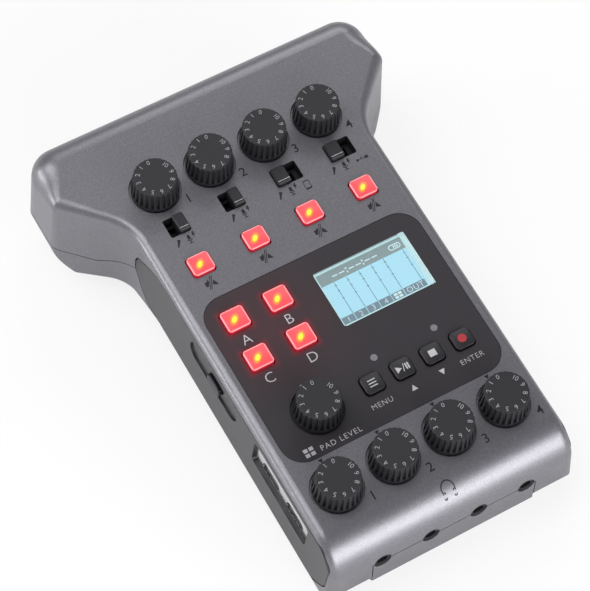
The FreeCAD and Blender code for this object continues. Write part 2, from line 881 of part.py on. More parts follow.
towers = []
tower_bores = []
screws = []
for x, y in SCREWS:
    floor = underside(y)
    height = "-tower_top - post_gap - (%s)" % floor
    towers.append(rod("tower", "Z", "tower_radius", (x, y, floor + " + 1"), height + " - 1"))
    seat = "-tower_top - post_gap - screw_floor"
    tower_bores.append(rod("head_bore", "Z", "screw_head + 0.3", (x, y, "-deep - 5"),
                           "deep + 5 + (%s)" % seat))
    tower_bores.append(rod("shank_bore", "Z", "screw_radius + 0.3", (x, y, "-deep - 5"), "deep + 5"))
    head = rod("screw_head_rod", "Z", "screw_head", (x, y, seat + " - screw_head_rise"), "screw_head_rise")
    shank = rod("screw_shank", "Z", "screw_radius", (x, y, seat + " - 0.1"),
                "screw_floor + post_gap + screw_grip")
    drive = rod("screw_drive", "Z", "screw_head / 2.2", (x, y, seat + " - screw_head_rise - 1"), "1.7")
    screws.append(cut("screw", fuse("screw_blank", head, shank), drive))

feet = []
foot_seats = []
for x, y in FEET:
    base = ground_depth(y)
    tall = "(%s) - (%s) + foot_sink" % (underside(y), base)
    seat = doc.addObject("Part::Cylinder", "foot_seat")
    foot = doc.addObject("Part::Cylinder", "foot_disc")
    for thing, radius in ((seat, "foot_radius + 0.15"), (foot, "foot_radius")):
        thing.Placement = FreeCAD.Placement(V(), UPRIGHT)
        bind(thing, Radius=radius, Height=tall)
        bind(thing, Placement__Base__x=x, Placement__Base__y=y, Placement__Base__z=base)
    feet.append(foot)
    foot_seats.append(seat)

tower_skin = common("tower_stack", group("towers", towers), outer)
bottom_raw = fuse("bottom_raw", lower_shell, bay_outer, tower_skin)
cheek_gaps = [cheek("cheek_gap_left", -1, "seam_gap"), cheek("cheek_gap_right", 1, "seam_gap")]
bottom_tools = tower_bores + foot_seats + cheek_gaps + mic_holes + jack_holes + ports + side_recesses
bottom_shell = cut("bottom_shell_cut", bottom_raw, bay_inner, *bottom_tools)
node("bottom_shell", bottom_shell)
node("shell_screws", group("screw_set", screws))
node("feet", group("foot_set", feet))

# Control panel with its holes.

top_face = "-panel_drop"
panel = new_body("control_panel_body")
sketch = outline(panel, "panel_plate", "XY_Plane", panel_corners("0", "panel_corner"), panel_bottom)
pad(panel, sketch, "panel_thick")
boss = circle(panel, "pad_dial_boss", "XY_Plane", "pad_dial_x", "pad_dial_y",
              "dial_base + well_gap + well_wall", "-top_wall")
pad(panel, boss, "top_wall + (%s)" % panel_bottom)
sketch = outline(panel, "lens_hole", "XY_Plane", rounded(
    "lens_x", "lens_y", "lens_width + 2 * lens_gap", "lens_depth + 2 * lens_gap", "0.6"), "5")
pocket(panel, sketch, "10")
for k, (x, y) in enumerate(PADS):
    corners = rounded(x, y, "pad_width + 2 * button_gap", "pad_depth + 2 * button_gap",
                      "lit_round + button_gap")
    pocket(panel, outline(panel, "pad_hole_%d" % (k + 1), "XY_Plane", corners, "5"), "10")
for k, (x, y) in enumerate(KEYS):
    corners = rounded(x, y, "key_width + 2 * button_gap", "key_depth + 2 * button_gap",
                      "key_round + button_gap")
    pocket(panel, outline(panel, "key_hole_%d" % (k + 1), "XY_Plane", corners, "5"), "10")
well = circle(panel, "pad_dial_well", "XY_Plane", "pad_dial_x", "pad_dial_y", "dial_base + well_gap", "5")
pocket(panel, well, "well_depth + 5")
hole = circle(panel, "pad_dial_hole", "XY_Plane", "pad_dial_x", "pad_dial_y", "neck_radius + neck_gap", "5")
pocket(panel, hole, "10")
for k, x in enumerate(("lamp_left", "lamp_right")):
    ring = circle(panel, "lamp_hole_%d" % (k + 1), "XY_Plane", x, "lamp_y", "lamp_radius + lamp_fit", "5")
    pocket(panel, ring, "10")
node("control_panel", panel)

# Screen: a stepped lens in the panel and the display module on the board under it.

lens = new_body("screen_lens_body")
lens_lip_top = panel_bottom
corners = rounded("lens_x", "lens_y", "lens_width + 2 * lens_lip", "lens_depth + 2 * lens_lip", "1")
pad(lens, outline(lens, "lens_lip_plate", "XY_Plane", corners, lens_lip_top + " - lens_thick"),
    "lens_thick")
corners = rounded("lens_x", "lens_y", "lens_width", "lens_depth", "0.5")
pad(lens, outline(lens, "lens_step", "XY_Plane", corners, lens_lip_top), "panel_thick")
node("screen_lens", lens)

module = new_body("lcd_module_body")
module_top = lens_lip_top + " - lens_thick - module_gap"
corners = rounded("lens_x", "lens_y", "module_width", "module_depth", "2")
pad(module, outline(module, "module_frame", "XY_Plane", corners, "-board_depth"),
    "board_depth + (%s)" % module_top)
corners = rounded("lens_x", "lens_y", "module_width - 2 * glass_edge", "module_depth - 2 * glass_edge",
                  "0.5")
pocket(module, outline(module, "module_glass", "XY_Plane", corners, module_top), "0.3")
node("lcd_module", module)

lamps = [
    rod("lamp_rod", "Z", "lamp_radius", (x, "lamp_y", "-board_depth"), "board_depth - panel_drop")
    for x in ("lamp_left", "lamp_right")
]
node("indicator_lamps", group("lamp_set", lamps))


# Dials: a fluted cap with a neck through the panel and a pin in its potentiometer.

def dial(label, x, y):
    """A dial over a round well."""
    body = new_body(label + "_body")
    low = "dial_gap - well_depth"
    neck_low = "-top_wall"
    sketch = new_sketch(body, label + "_profile", "XZ_Plane")
    profile = [
        ("0", "-top_wall - pot_gap - pin_length"),
        ("pin_radius", "-top_wall - pot_gap - pin_length"),
        ("pin_radius", neck_low),
        ("neck_radius", neck_low),
        ("neck_radius", low),
        ("dial_base", low),
        ("dial_base", "dial_foot"),
        ("dial_top", "dial_rise - dial_edge"),
        ("dial_top - dial_edge * 0.3", "dial_rise - dial_edge * 0.3"),
        ("dial_top - dial_edge", "dial_rise"),
        ("0", "dial_rise"),
    ]
    spots = [V(size(px), size(pz), 0) for px, pz in profile]
    for i, spot in enumerate(spots):
        sketch.addGeometry(Part.LineSegment(spot, spots[(i + 1) % len(spots)]), False)
    for i, (px, pz) in enumerate(profile):
        sketch.addConstraint(Sketcher.Constraint("Coincident", (i - 1) % len(spots), 2, i, 1))
        hold(sketch, "DistanceX", (-1, 1, i, 1), spots[i].x, px)
        hold(sketch, "DistanceY", (-1, 1, i, 1), spots[i].y, pz)
    turned = body.newObject("PartDesign::Revolution", label + "_turned")
    turned.Profile = sketch
    turned.ReferenceAxis = (sketch, ["V_Axis"])
    turned.Angle = 360
    flute = circle(body, label + "_flute", "XY_Plane", "dial_top + flute_radius / 2", "0", "flute_radius",
                   "dial_foot")
    groove = pocket(body, flute, "dial_rise", True)
    doc.recompute()
    ring = body.newObject("PartDesign::PolarPattern", label + "_flutes")
    ring.Originals = [groove]
    ring.Axis = (datum(body, "Z_Axis"), [""])
    ring.Angle = 360
    bind(ring, Occurrences="flute_count")
    body.Tip = ring
    node(label, body, FreeCAD.Placement(V(size(x), size(y), 0), ROT()))


for k, x in enumerate(DIALS):
    dial("gain_knob_%d" % (k + 1), x, "gain_y")
    dial("headphone_knob_%d" % (k + 1), x, "phones_y")
dial("pad_volume_knob", "pad_dial_x", "pad_dial_y")

pots = []
for x, y in [(x, y) for x in DIALS for y in ("gain_y", "phones_y")] + [("pad_dial_x", "pad_dial_y")]:
    half = "pot_side / 2"
    case = box("pot_case", ("(%s) - %s" % (x, half), "(%s) + %s" % (x, half)),
               ("(%s) - %s" % (y, half), "(%s) + %s" % (y, half)), ("-board_depth", "-top_wall - pot_gap"))
    bore = rod("pot_bore", "Z", "pin_radius + pin_fit", (x, y, "-top_wall - pot_gap - pin_length - 0.2"),
               "pin_length + 5")
    pots.append(cut("pot", case, bore))
node("potentiometers", group("pot_set", pots))


# Buttons: a softened cap, a foot that the wall holds back and a plunger over a small switch.

def button(label, x, y, width, depth, corner, ceiling):
    body = new_body(label + "_body")
    foot_top = "(%s) - under_gap" % ceiling
    foot_low = foot_top + " - lip_thick"
    corners = rounded(x, y, width, depth, corner)
    cap = pad(body, outline(body, label + "_cap", "XY_Plane", corners, foot_low),
              "button_rise - (%s)" % foot_low)
    dress(body, "Fillet", cap, lambda edge: at_height(edge, size("button_rise")), "button_edge")
    reach = "%s + 2 * (button_gap + lip)"
    corners = rounded(x, y, reach % width, reach % depth, "foot_round")
    pad(body, outline(body, label + "_foot", "XY_Plane", corners, foot_low), "lip_thick")
    tip = "-board_depth + tact_rise + travel + tact_gap"
    pad(body, circle(body, label + "_plunger", "XY_Plane", x, y, "plunger", tip),
        "(%s) - (%s)" % (foot_low, tip))
    node(label, body)


for k, x in enumerate(DIALS):
    button("mute_button_%d" % (k + 1), x, "mute_y", "mute_width", "mute_depth", "lit_round", "-top_wall")
for name, (x, y) in zip("abcd", PADS):
    button("pad_button_" + name, x, y, "pad_width", "pad_depth", "lit_round", panel_bottom)
for name, (x, y) in zip(("menu_key", "play_key", "stop_key", "record_key"), KEYS):
    button(name, x, y, "key_width", "key_depth", "key_round", panel_bottom)

tacts = []
for x, y in [(x, "mute_y") for x in DIALS] + PADS + KEYS:
    half = "tact_side / 2"
    case = box("tact_case", ("(%s) - %s" % (x, half), "(%s) + %s" % (x, half)),
               ("(%s) - %s" % (y, half), "(%s) + %s" % (y, half)),
               ("-board_depth", "tact_rise * 0.7 - board_depth"))
    stud = rod("tact_stud", "Z", "plunger", (x, y, "-board_depth"), "tact_rise")
    tacts.append(fuse("tact", case, stud))
node("tact_switches", group("tact_set", tacts))

# Source switches: a cap in each window, whose stem reaches into the switch body's slot.

switch_top = "-top_wall - switch_gap"
switches = []
for k, (x, width, cap, rest) in enumerate(SLIDES):
    label = "source_slider_%d" % (k + 1)
    travel = "((%s) - (%s) - 2 * cap_gap)" % (width, cap)
    seat = "(%s) + %d * %s / 2" % (x, rest, travel)
    body = new_body(label + "_body")
    corners = rounded(seat, "slide_y", cap, "slide_depth - 2 * cap_gap", "0.4")
    low = switch_top + " + stem_gap"
    block = pad(body, outline(body, label + "_cap", "XY_Plane", corners, low), "cap_rise - (%s)" % low)
    dress(body, "Chamfer", block, lambda edge: at_height(edge, size("cap_rise")), "cap_edge")
    stem_low = switch_top + " - stem_reach"
    corners = rounded(seat, "slide_y", "stem_width", "stem_depth", "0.2")
    pad(body, outline(body, label + "_stem", "XY_Plane", corners, stem_low),
        "(%s) - (%s)" % (low, stem_low))
    node(label, body)
    half = "(%s) / 2 + switch_margin" % width
    case = box("switch_case", ("(%s) - (%s)" % (x, half), "(%s) + (%s)" % (x, half)),
               ("slide_y - switch_depth / 2", "slide_y + switch_depth / 2"), ("-board_depth", switch_top))
    half = "%s / 2 + stem_width / 2 + stem_gap" % travel
    slot = box("switch_slot", ("(%s) - (%s)" % (x, half), "(%s) + (%s)" % (x, half)),
               ("slide_y - stem_depth / 2 - stem_gap", "slide_y + stem_depth / 2 + stem_gap"),
               (switch_top + " - stem_reach - stem_gap", "0"))
    switches.append(cut("switch", case, slot))

# Power switch body, in the left wall beside the board.

half_y = "(%s) / 2" % POWER_BODY[0]
half_z = "(%s) / 2" % POWER_BODY[1]
face = "body_half - side_recess - 0.3 - (seam_rear - power_depth) * tan(draft * 1deg)"
case = box("power_case", ("-(%s)" % face, "-board_half"), ("power_y - " + half_y, "power_y + " + half_y),
           ("-power_depth - " + half_z, "-power_depth + " + half_z))
slot = box("power_case_slot", ("-(%s) - 1" % face, "-(%s) + 1.3" % face),
           ("power_y - power_stem / 2 - power_travel - stem_gap",
            "power_y + power_stem / 2 + power_travel + stem_gap"),
           ("-power_depth - power_stem_height / 2 - stem_gap",
            "-power_depth + power_stem_height / 2 + stem_gap"))
switches.append(cut("power_switch", case, slot))
node("slide_switches", group("switch_set", switches))

# Boards.

board_low = "-board_depth - board_thick"
board_holes = [
    rod("board_hole", "Z", "post_radius + 0.2", (x, y, board_low + " - 1"), "board_thick + 2")
    for x, y in SCREWS
]
main = new_body("main_board_plate")
corners = [
    ("board_half", "board_rear", "1"), ("-board_half", "board_rear", "1"),
    ("-board_half", "board_neck", "1"), ("-board_nose", "board_neck", "1"),
    ("-board_nose", "board_front", "1"), ("board_nose", "board_front", "1"),
    ("board_nose", "board_neck", "1"), ("board_half", "board_neck", "1"),
]
pad(main, outline(main, "main_board_outline", "XY_Plane", corners, board_low), "board_thick")
node("main_board", cut("main_board_cut", main, *board_holes[:4]))
corners = [
    ("board_half", "input_rear", "1"), ("-board_half", "input_rear", "1"),
    ("-board_half", "input_front", "1"), ("board_half", "input_front", "1"),
]
entry = slab("input_board_plate", corners, board_low, "-board_depth")
node("input_board", cut("input_board_cut", entry, *board_holes[4:]))

# Microphone sockets: a block with a ring in the rear wall, and a core with three contacts.

mic_face = "rear_y - mic_sink - (seam_rear - mic_depth + mic_ring) * tan(draft * 1deg)"
mic_front = "rear_y - wing_wall - 0.2 - mic_length"
for k, x in enumerate(MICS):
    half = "mic_width / 2"
    block = box("mic_block", ("(%s) - %s" % (x, half), "(%s) + %s" % (x, half)),
                (mic_front, "rear_y - wing_wall - 3.4"),
                ("-mic_depth - mic_height / 2", "-mic_depth + mic_height / 2"))
    ring = rod("mic_ring_rod", "Y", "mic_ring", (x, mic_front + " + 1", "-mic_depth"),
               "(%s) - (%s) - 1" % (mic_face, mic_front))
    bore = rod("mic_bore_rod", "Y", "mic_bore", (x, "(%s) - mic_bore_length" % mic_face, "-mic_depth"),
               "mic_bore_length + 5")
    core = rod("mic_core_rod", "Y", "mic_core",
               (x, "(%s) - mic_bore_length - 0.5" % mic_face, "-mic_depth"),
               "mic_bore_length + 0.5 - mic_core_sink")
    pins = []
    for turn in (90, 210, 330):
        px = "(%s) + mic_contact_circle * cos(%d * 1deg)" % (x, turn)
        pz = "-mic_depth - mic_contact_circle * sin(%d * 1deg)" % turn
        pins.append(rod("mic_pin_hole", "Y", "mic_contact",
                        (px, "(%s) - mic_core_sink - mic_contact_length" % mic_face, pz),
                        "mic_contact_length + 5"))
    hull = cut("mic_hull", fuse("mic_blank", block, ring), bore)
    node("xlr_socket_%d" % (k + 1), cut("mic_socket", fuse("mic_whole", hull, core), *pins))
    tab_low = "mic_ring + mic_ring_gap - mic_depth + latch_travel + latch_gap"
    tab = new_body("latch_%d" % (k + 1))
    corners = rounded(x, tab_low + " + latch_rise / 2", "latch_width", "latch_rise", "0.6")
    sketch = outline(tab, "latch_face_%d" % (k + 1), "XZ_Plane", corners, "latch_sink - rear_y")
    pad(tab, sketch, "latch_length")
    node("xlr_latch_%d" % (k + 1), tab)

# Headphone jacks under the front of the board, and the phone jack at the right.

jacks = []
jack_top = board_low
jack_low = "-2 * jack_depth - (%s)" % jack_top
jack_inner = "front_y + floor_wall + nose_lean"
for x in JACKS:
    half = "jack_width / 2"
    block = box("jack_block", ("(%s) - %s" % (x, half), "(%s) + %s" % (x, half)),
                (jack_inner, "%s + jack_length" % jack_inner), (jack_low, jack_top))
    ring = rod("jack_ring_rod", "Y", "jack_ring", (x, "front_y + jack_sink", "-jack_depth"),
               "floor_wall + nose_lean")
    bore = rod("jack_bore_rod", "Y", "jack_bore", (x, "front_y - 1", "-jack_depth"),
               "jack_bore_length + 1 + jack_sink")
    jacks.append(cut("jack", fuse("jack_blank", block, ring), bore))
node("headphone_jacks", group("jack_set", jacks))

wall_face = "body_half - side_recess - (seam_rear - jack_depth) * tan(draft * 1deg)"
phone_end = "body_half - side_wall - 0.2 - (seam_rear - board_depth - board_thick) * tan(draft * 1deg)"
block = box("phone_block", ("board_half - jack_length", phone_end),
            ("phone_y - jack_width / 2", "phone_y + jack_width / 2"), (jack_low, jack_top))
ring = rod("phone_ring_rod", "X", "jack_ring", ("board_half - 3", "phone_y", "-jack_depth"),
           "%s - board_half + 2.7" % wall_face)
bore = rod("phone_bore_rod", "X", "jack_bore",
           ("%s - 0.3 - jack_bore_length" % wall_face, "phone_y", "-jack_depth"),
           "jack_bore_length + 5")
node("phone_jack", cut("phone_jack_cut", fuse("phone_blank", block, ring), bore))

# Card slot under the board at the right.

card_out = "body_half - side_recess - 0.4 - (seam_rear - board_depth) * tan(draft * 1deg)"
card_low = board_low + " - card_height"
case = box("card_case", ("%s - card_length" % card_out, card_out),
           ("card_y - card_width / 2", "card_y + card_width / 2"),
           (card_low, board_low))
slit = box("card_case_slit", ("%s - card_length + card_wall" % card_out, "body_half + 5"),
           ("card_y - card_width / 2 + card_wall", "card_y + card_width / 2 - card_wall"),
           (card_low + " + (card_height - card_slit) / 2", board_low + " - (card_height - card_slit) / 2"))
node("card_slot", cut("card_slot_cut", case, slit))

# USB sockets under the board at the left: a thin metal mouth round a tongue.

sockets = []
usb_face = "body_half - side_recess - 0.1 - (seam_rear - usb_depth) * tan(draft * 1deg)"
for k, y in enumerate(("usb_first_y", "usb_second_y")):
    tube = new_body("usb_tube_%d" % (k + 1))
    corners = rounded(y, "-usb_depth", "usb_width", "usb_height", "usb_height / 2 - 0.05")
    pad(tube, outline(tube, "usb_outer_%d" % (k + 1), "YZ_Plane", corners, "-(%s)" % usb_face),
        "usb_length")
    corners = rounded(y, "-usb_depth", "usb_width - 2 * usb_wall", "usb_height - 2 * usb_wall",
                      "usb_height / 2 - usb_wall - 0.05")
    sketch = outline(tube, "usb_mouth_%d" % (k + 1), "YZ_Plane", corners, "-(%s) - 1" % usb_face)
    pocket(tube, sketch, "usb_length", True)
    tongue = box("usb_tongue_plate", ("-(%s) + 1" % usb_face, "-(%s) + usb_length" % usb_face),
                 ("(%s) - usb_width / 2 + 1.2" % y, "(%s) + usb_width / 2 - 1.2" % y),
                 ("-usb_depth - usb_tongue / 2", "-usb_depth + usb_tongue / 2"))
    saddle = box("usb_saddle", ("-board_half + 0.3", "-(%s) + usb_length" % usb_face),
                 ("(%s) - usb_width / 2 + 1" % y, "(%s) + usb_width / 2 - 1" % y),
                 ("-usb_depth + usb_height / 2 - 0.3", board_low))
    sockets.append(fuse("usb_socket", tube, tongue, saddle))
node("usb_sockets", group("usb_set", sockets))

# Side panels, drawn flat: Y along the recorder, and heights counted from the rear seam.


def flat(depth):
    return "seam_rear - (%s)" % depth


def on_face(edge):
    """The edges of a side panel's outer face."""
    bounds = edge.BoundBox
    return abs(bounds.XMin) < 1e-4 and abs(bounds.XMax) < 1e-4


def side_pocket(body, side, name, corners, depth):
    """Cuts a shape into a side panel's outer face."""
    start = "0.01" if side > 0 else "-0.01"
    feature = pocket(body, outline(body, name, "YZ_Plane", corners, start), "(%s) + 0.01" % depth,
                     side < 0)
    return feature


left_panel, plate = side_slab("left_side_panel_body", -1, boat("0"), "side_thick", "0")
dress(left_panel, "Chamfer", plate, on_face, "side_edge")
shield_y = "(shield_front + shield_rear) / 2"
shield_z = flat("(shield_top + shield_bottom) / 2")
corners = rounded(shield_y, shield_z, "shield_rear - shield_front", "shield_bottom - shield_top", "1.5")
side_pocket(left_panel, -1, "shield_window", corners, "2 * side_thick")
well_y = "(power_well_front + power_well_rear) / 2"
corners = rounded(well_y, flat("power_depth"), "power_well_rear - power_well_front", "power_well_height",
                  "power_well_height / 2 - 0.1")
side_pocket(left_panel, -1, "power_well_cut", corners, "power_well")
corners = rounded("power_y", flat("power_depth"), "power_stem + 2 * power_travel + 2 * stem_gap",
                  "power_stem_height + 2 * stem_gap", "0.3")
side_pocket(left_panel, -1, "power_slot_cut", corners, "2 * side_thick")
node("left_side_panel", left_panel, SIDE_LEAN[-1])

right_panel, plate = side_slab("right_side_panel_body", 1, boat("0"), "side_thick", "0")
dress(right_panel, "Chamfer", plate, on_face, "side_edge")
corners = rounded("card_y", flat("board_depth + board_thick + card_height / 2"), "card_width",
                  "card_height", "0.5")
side_pocket(right_panel, 1, "card_mouth", corners, "2 * side_thick")
corners = rounded("phone_y", flat("jack_depth"), "2 * jack_ring + 0.2", "2 * jack_ring + 0.2", "jack_ring")
side_pocket(right_panel, 1, "phone_mouth", corners, "2 * side_thick")
node("right_side_panel", right_panel, SIDE_LEAN[1])

shield = new_body("usb_shield_plate_body")
corners = rounded(shield_y, shield_z, "shield_rear - shield_front - 2 * shield_gap",
                  "shield_bottom - shield_top - 2 * shield_gap", "1.4")
pad(shield, outline(shield, "shield_outline", "YZ_Plane", corners, "side_thick - shield_thick"),
    "shield_thick")
for k, y in enumerate(("usb_first_y", "usb_second_y")):
    corners = rounded(y, flat("usb_depth"), "usb_width + 2 * shield_gap", "usb_height + 2 * shield_gap",
                      "usb_height / 2 + shield_gap - 0.05")
    pocket(shield, outline(shield, "shield_slot_%d" % (k + 1), "YZ_Plane", corners, "side_thick + 1"), "3")
node("usb_shield_plate", shield, SIDE_LEAN[-1])

power = new_body("power_slider_body")
corners = rounded("power_y", flat("power_depth"), "power_cap", "power_cap_height", "1.2")
cap_low = "power_well - 0.3"
cap = pad(power, outline(power, "power_cap_outline", "YZ_Plane", corners, "%s - power_rise" % cap_low),
          "power_rise")
dress(power, "Fillet", cap, lambda edge: edge.BoundBox.XLength < 1e-4 and
      abs(edge.BoundBox.XMin - size(cap_low) + size("power_rise")) < 1e-3, "0.35")
corners = rounded("power_y", flat("power_depth"), "power_stem", "power_stem_height", "0.25")
pad(power, outline(power, "power_stem_outline", "YZ_Plane", corners, cap_low),
    "side_recess - (%s) + 1" % cap_low)
node("power_slider", power, SIDE_LEAN[-1])

# Battery door, cells and contacts.

door = new_body("battery_door_body")
corners = rounded("0", "(bay_front + bay_rear) / 2", "2 * bay_half - 2 * door_gap",
                  "bay_rear - bay_front - 2 * door_gap", "0.8")
pad(door, outline(door, "door_plate", "XY_Plane", corners, "-shallow"), "door_thick")
corners = rounded("0", "bay_rear - 6", "16", "4", "1.9")
pocket(door, outline(door, "door_grip", "XY_Plane", corners, "-shallow"), "0.7", True)
node("battery_door", door)

cells = []
contacts = []
cell_z = bay_top + " - bay_roof - cell_gap - cell_radius"
plate_in = "bay_half - 0.1 - contact_thick"
for side, y in ((1, "bay_front + cell_gap + cell_radius"), (-1, "bay_rear - cell_gap - cell_radius")):
    can_start = "-cell_length / 2" if side > 0 else "cell_nub - cell_length / 2"
    can = rod("cell_can", "X", "cell_radius", (can_start, y, cell_z), "cell_length - cell_nub")
    nub = rod("cell_nub_rod", "X", "nub_radius", ("-cell_length / 2", y, cell_z), "cell_length")
    cells.append(fuse("cell", can, nub))
    for end in (1, -1):
        near = "%s" % plate_in if end > 0 else "-bay_half + 0.1"
        half = "contact_side / 2"
        plate = box("contact_plate", (near, near + " + contact_thick"),
                    ("(%s) - %s" % (y, half), "(%s) + %s" % (y, half)),
                    ("(%s) - %s" % (cell_z, half), "(%s) + %s" % (cell_z, half)))
        start = "cell_length / 2 + 0.05" if end > 0 else "-bay_half + 0.1"
        reach = "bay_half - 0.15 - cell_length / 2"
        stud = rod("contact_spring", "X", "spring_radius", (start, y, cell_z), reach)
        contacts.append(fuse("contact", plate, stud))
node("battery_cells", group("cell_set", cells))
node("battery_contacts", group("contact_set", contacts))

doc.recompute()

# The whole recorder is leaned back and set on the ground, under its own middle.

lean = FreeCAD.Placement(V(), ROT(V(1, 0, 0), size("lean")))
spans = []
for thing, place in nodes.values():
    thing.Placement = lean.multiply(place)
doc.recompute()
for thing, place in nodes.values():
    points = thing.Shape.tessellate(0.2)[0]
    spans += [(point.x, point.y, point.z) for point in points]
low = [min(point[axis] for point in spans) for axis in range(3)]
high = [max(point[axis] for point in spans) for axis in range(3)]
stand = FreeCAD.Placement(V(-(low[0] + high[0]) / 2, -(low[1] + high[1]) / 2, -low[2]), ROT())
for thing, place in nodes.values():
    thing.Placement = stand.multiply(lean).multiply(place)
doc.recompute()

faults = []
for thing in doc.Objects:
    if "Invalid" in thing.State or "Error" in thing.State:
        faults.append("%s is %s" % (thing.Name, thing.State))
for label, (thing, place) in nodes.items():
    if thing.Shape.isNull() or not thing.Shape.isValid() or not thing.Shape.Solids:
        faults.append("%s has no sound shape" % label)
if faults:
    raise RuntimeError("; ".join(faults))

os.makedirs("parts", exist_ok=True)
for label, (thing, place) in nodes.items():
    thing.Shape.exportStep("parts/%s.step" % label)
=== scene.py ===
"""Looks of a four-channel podcast recorder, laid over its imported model.

The pieces are drawn in the panel's own frame, in millimetres: X to the right, Y to the rear,
Z square out of the panel, with zero on the panel's middle line and on its face.
"""
import json
import math

import bmesh
import bpy
from bpy.props import FloatProperty, FloatVectorProperty, PointerProperty, StringProperty
from mathutils import Matrix, Quaternion, Vector
from mathutils.bvhtree import BVHTree


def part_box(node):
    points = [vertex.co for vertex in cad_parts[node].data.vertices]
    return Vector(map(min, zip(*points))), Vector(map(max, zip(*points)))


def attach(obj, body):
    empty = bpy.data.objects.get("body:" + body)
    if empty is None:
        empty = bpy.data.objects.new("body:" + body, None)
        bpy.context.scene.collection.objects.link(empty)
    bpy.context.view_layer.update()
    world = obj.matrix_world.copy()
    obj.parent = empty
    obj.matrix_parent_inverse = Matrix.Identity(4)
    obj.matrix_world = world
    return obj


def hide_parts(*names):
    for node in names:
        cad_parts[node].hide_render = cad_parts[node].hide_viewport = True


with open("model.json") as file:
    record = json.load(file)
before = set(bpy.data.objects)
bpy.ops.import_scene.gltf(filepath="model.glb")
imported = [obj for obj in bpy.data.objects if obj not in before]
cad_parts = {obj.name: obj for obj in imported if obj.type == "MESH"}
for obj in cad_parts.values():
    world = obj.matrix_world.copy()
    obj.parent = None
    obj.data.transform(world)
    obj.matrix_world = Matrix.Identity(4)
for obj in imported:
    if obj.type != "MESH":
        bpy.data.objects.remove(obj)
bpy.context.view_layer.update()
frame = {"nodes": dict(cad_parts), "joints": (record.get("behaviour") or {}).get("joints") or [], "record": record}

bl_info = {
    "name": "Podcast Recorder Looks",
    "version": (1, 0, 0),
    "blender": (4, 5, 0),
    "location": "View3D > Sidebar > Recorder",
    "description": "Finishes, prints, keytops and stage of a four-channel podcast recorder",
    "category": "Object",
}

NODES = frame["nodes"]
JOINTS = {joint["name"]: joint for joint in frame["joints"]}
MM = 0.001
CHANNELS = (1, 2, 3, 4)
PADS = ("a", "b", "c", "d")
KEYS = ("menu_key", "play_key", "stop_key", "record_key")
MUTES = ["mute_button_%d" % k for k in CHANNELS]
PAD_BUTTONS = ["pad_button_" + name for name in PADS]
GAIN_DIALS = ["gain_knob_%d" % k for k in CHANNELS]
PHONE_DIALS = ["headphone_knob_%d" % k for k in CHANNELS]

# Widths and depths of the keytops, in millimetres.
MUTE_SIZE = (6.9, 6.4)
PAD_SIZE = (7.2, 6.8)
KEY_SIZE = (6.2, 5.9)
# A keytop's face is set in from its edge, stands a little over it and has a soft rim.
FACE_INSET = 0.2
FACE_RISE = 0.14
SOFT_EDGE = 0.12

# Places on the panel, in millimetres.
PAD_DIAL = (-20.0, -34.0, 0.0)
GAIN_NUMBERS = ((-19.7, 42.2), (-1.5, 42.5), (16.0, 42.3), (34.1, 42.1))
PHONE_NUMBERS = ((-19.3, -63.5), (-1.1, -63.7), (17.0, -63.7), (34.9, -63.5))
# The control panel's face lies this far from the painted face round it.
PANEL_FACE = -0.1
SLIDER_ROW = 35.85
# A slider has two places on channels 1 and 2 and three on the others. For each kind: where its two
# microphone symbols stand from the channel's middle and on the panel, and its window's width and shift.
SLIDER_KINDS = {
    2: {"hand": (-2.35, 30.15), "studio": (2.0, 30.4), "window": 6.6, "shift": 0.05},
    3: {"hand": (-4.7, 30.15), "studio": (-0.2, 30.45), "window": 8.6, "shift": 0.3},
}
WINDOW_DEPTH = 6.26
# How high a slider's cap stands over the panel, and how far its index line lies before the row's middle.
CAP_TOP = 1.5
INDEX_SHIFT = 1.9

# The rear sockets: the first one's place, their spacing, and the circle of their contacts.
SOCKET_LEFT = -39.0
SOCKET_PITCH = 26.0
SOCKET_LEVEL = -20.5
CONTACT_CIRCLE = 4.8
CONTACT_Y = 71.6

# The screen's picture is built of thin films, in millimetres from a zero near its left upper corner.
FILM = 0.02
PICTURE_SHIFT = (0.55, 0.8)
LABELS_X = (1.95, 6.05, 10.15, 14.25, 18.35)
OUT_X = 24.05
LABELS_Y = -13.85

FLOOR_WIDTH = 6.0
# Name, place, aim, width, height and power of each lamp, in metres and watts.
SOFTBOXES = (
    ("key softbox", (-0.5, 0.35, 1.1), (0.0, 0.0, 0.03), 0.9, 0.9, 7.0),
    ("rear softbox", (0.55, 0.8, 0.8), (0.0, 0.0, 0.03), 0.8, 0.5, 3.0),
    ("front softbox", (0.12, -1.1, 0.4), (0.0, -0.03, 0.02), 1.4, 0.7, 15.5),
    ("left softbox", (-0.95, 0.52, 0.3), (0.0, 0.0, 0.02), 0.6, 0.3, 3.5),
)


def panel_frame():
    """The panel's frame as a matrix from millimetres on it to metres in the model."""
    knob = JOINTS["pad_volume_knob_turn"]
    up = Vector(knob["axis"]).normalized()
    right = Vector((1.0, 0.0, 0.0))
    rear = up.cross(right)
    turn = Matrix((right, rear, up)).transposed()
    start = Vector(knob["pos_m"]) - turn @ Vector(PAD_DIAL) * MM
    return Matrix.Translation(start) @ turn.to_4x4() @ Matrix.Scale(MM, 4)


PANEL = panel_frame()
OFF_PANEL = PANEL.inverted()
PANEL_UP = PANEL.to_3x3().normalized() @ Vector((0.0, 0.0, 1.0))


def spot(joint):
    """Where a joint's axis stands on the panel, in millimetres."""
    return OFF_PANEL @ Vector(JOINTS[joint]["pos_m"])


def at(x, y, z=0.0, turn=0.0):
    """A place on the panel, turned about the panel's normal by degrees."""
    return Matrix.Translation((x, y, z)) @ Matrix.Rotation(math.radians(turn), 4, "Z")


# Sizes and colours that a user would change.

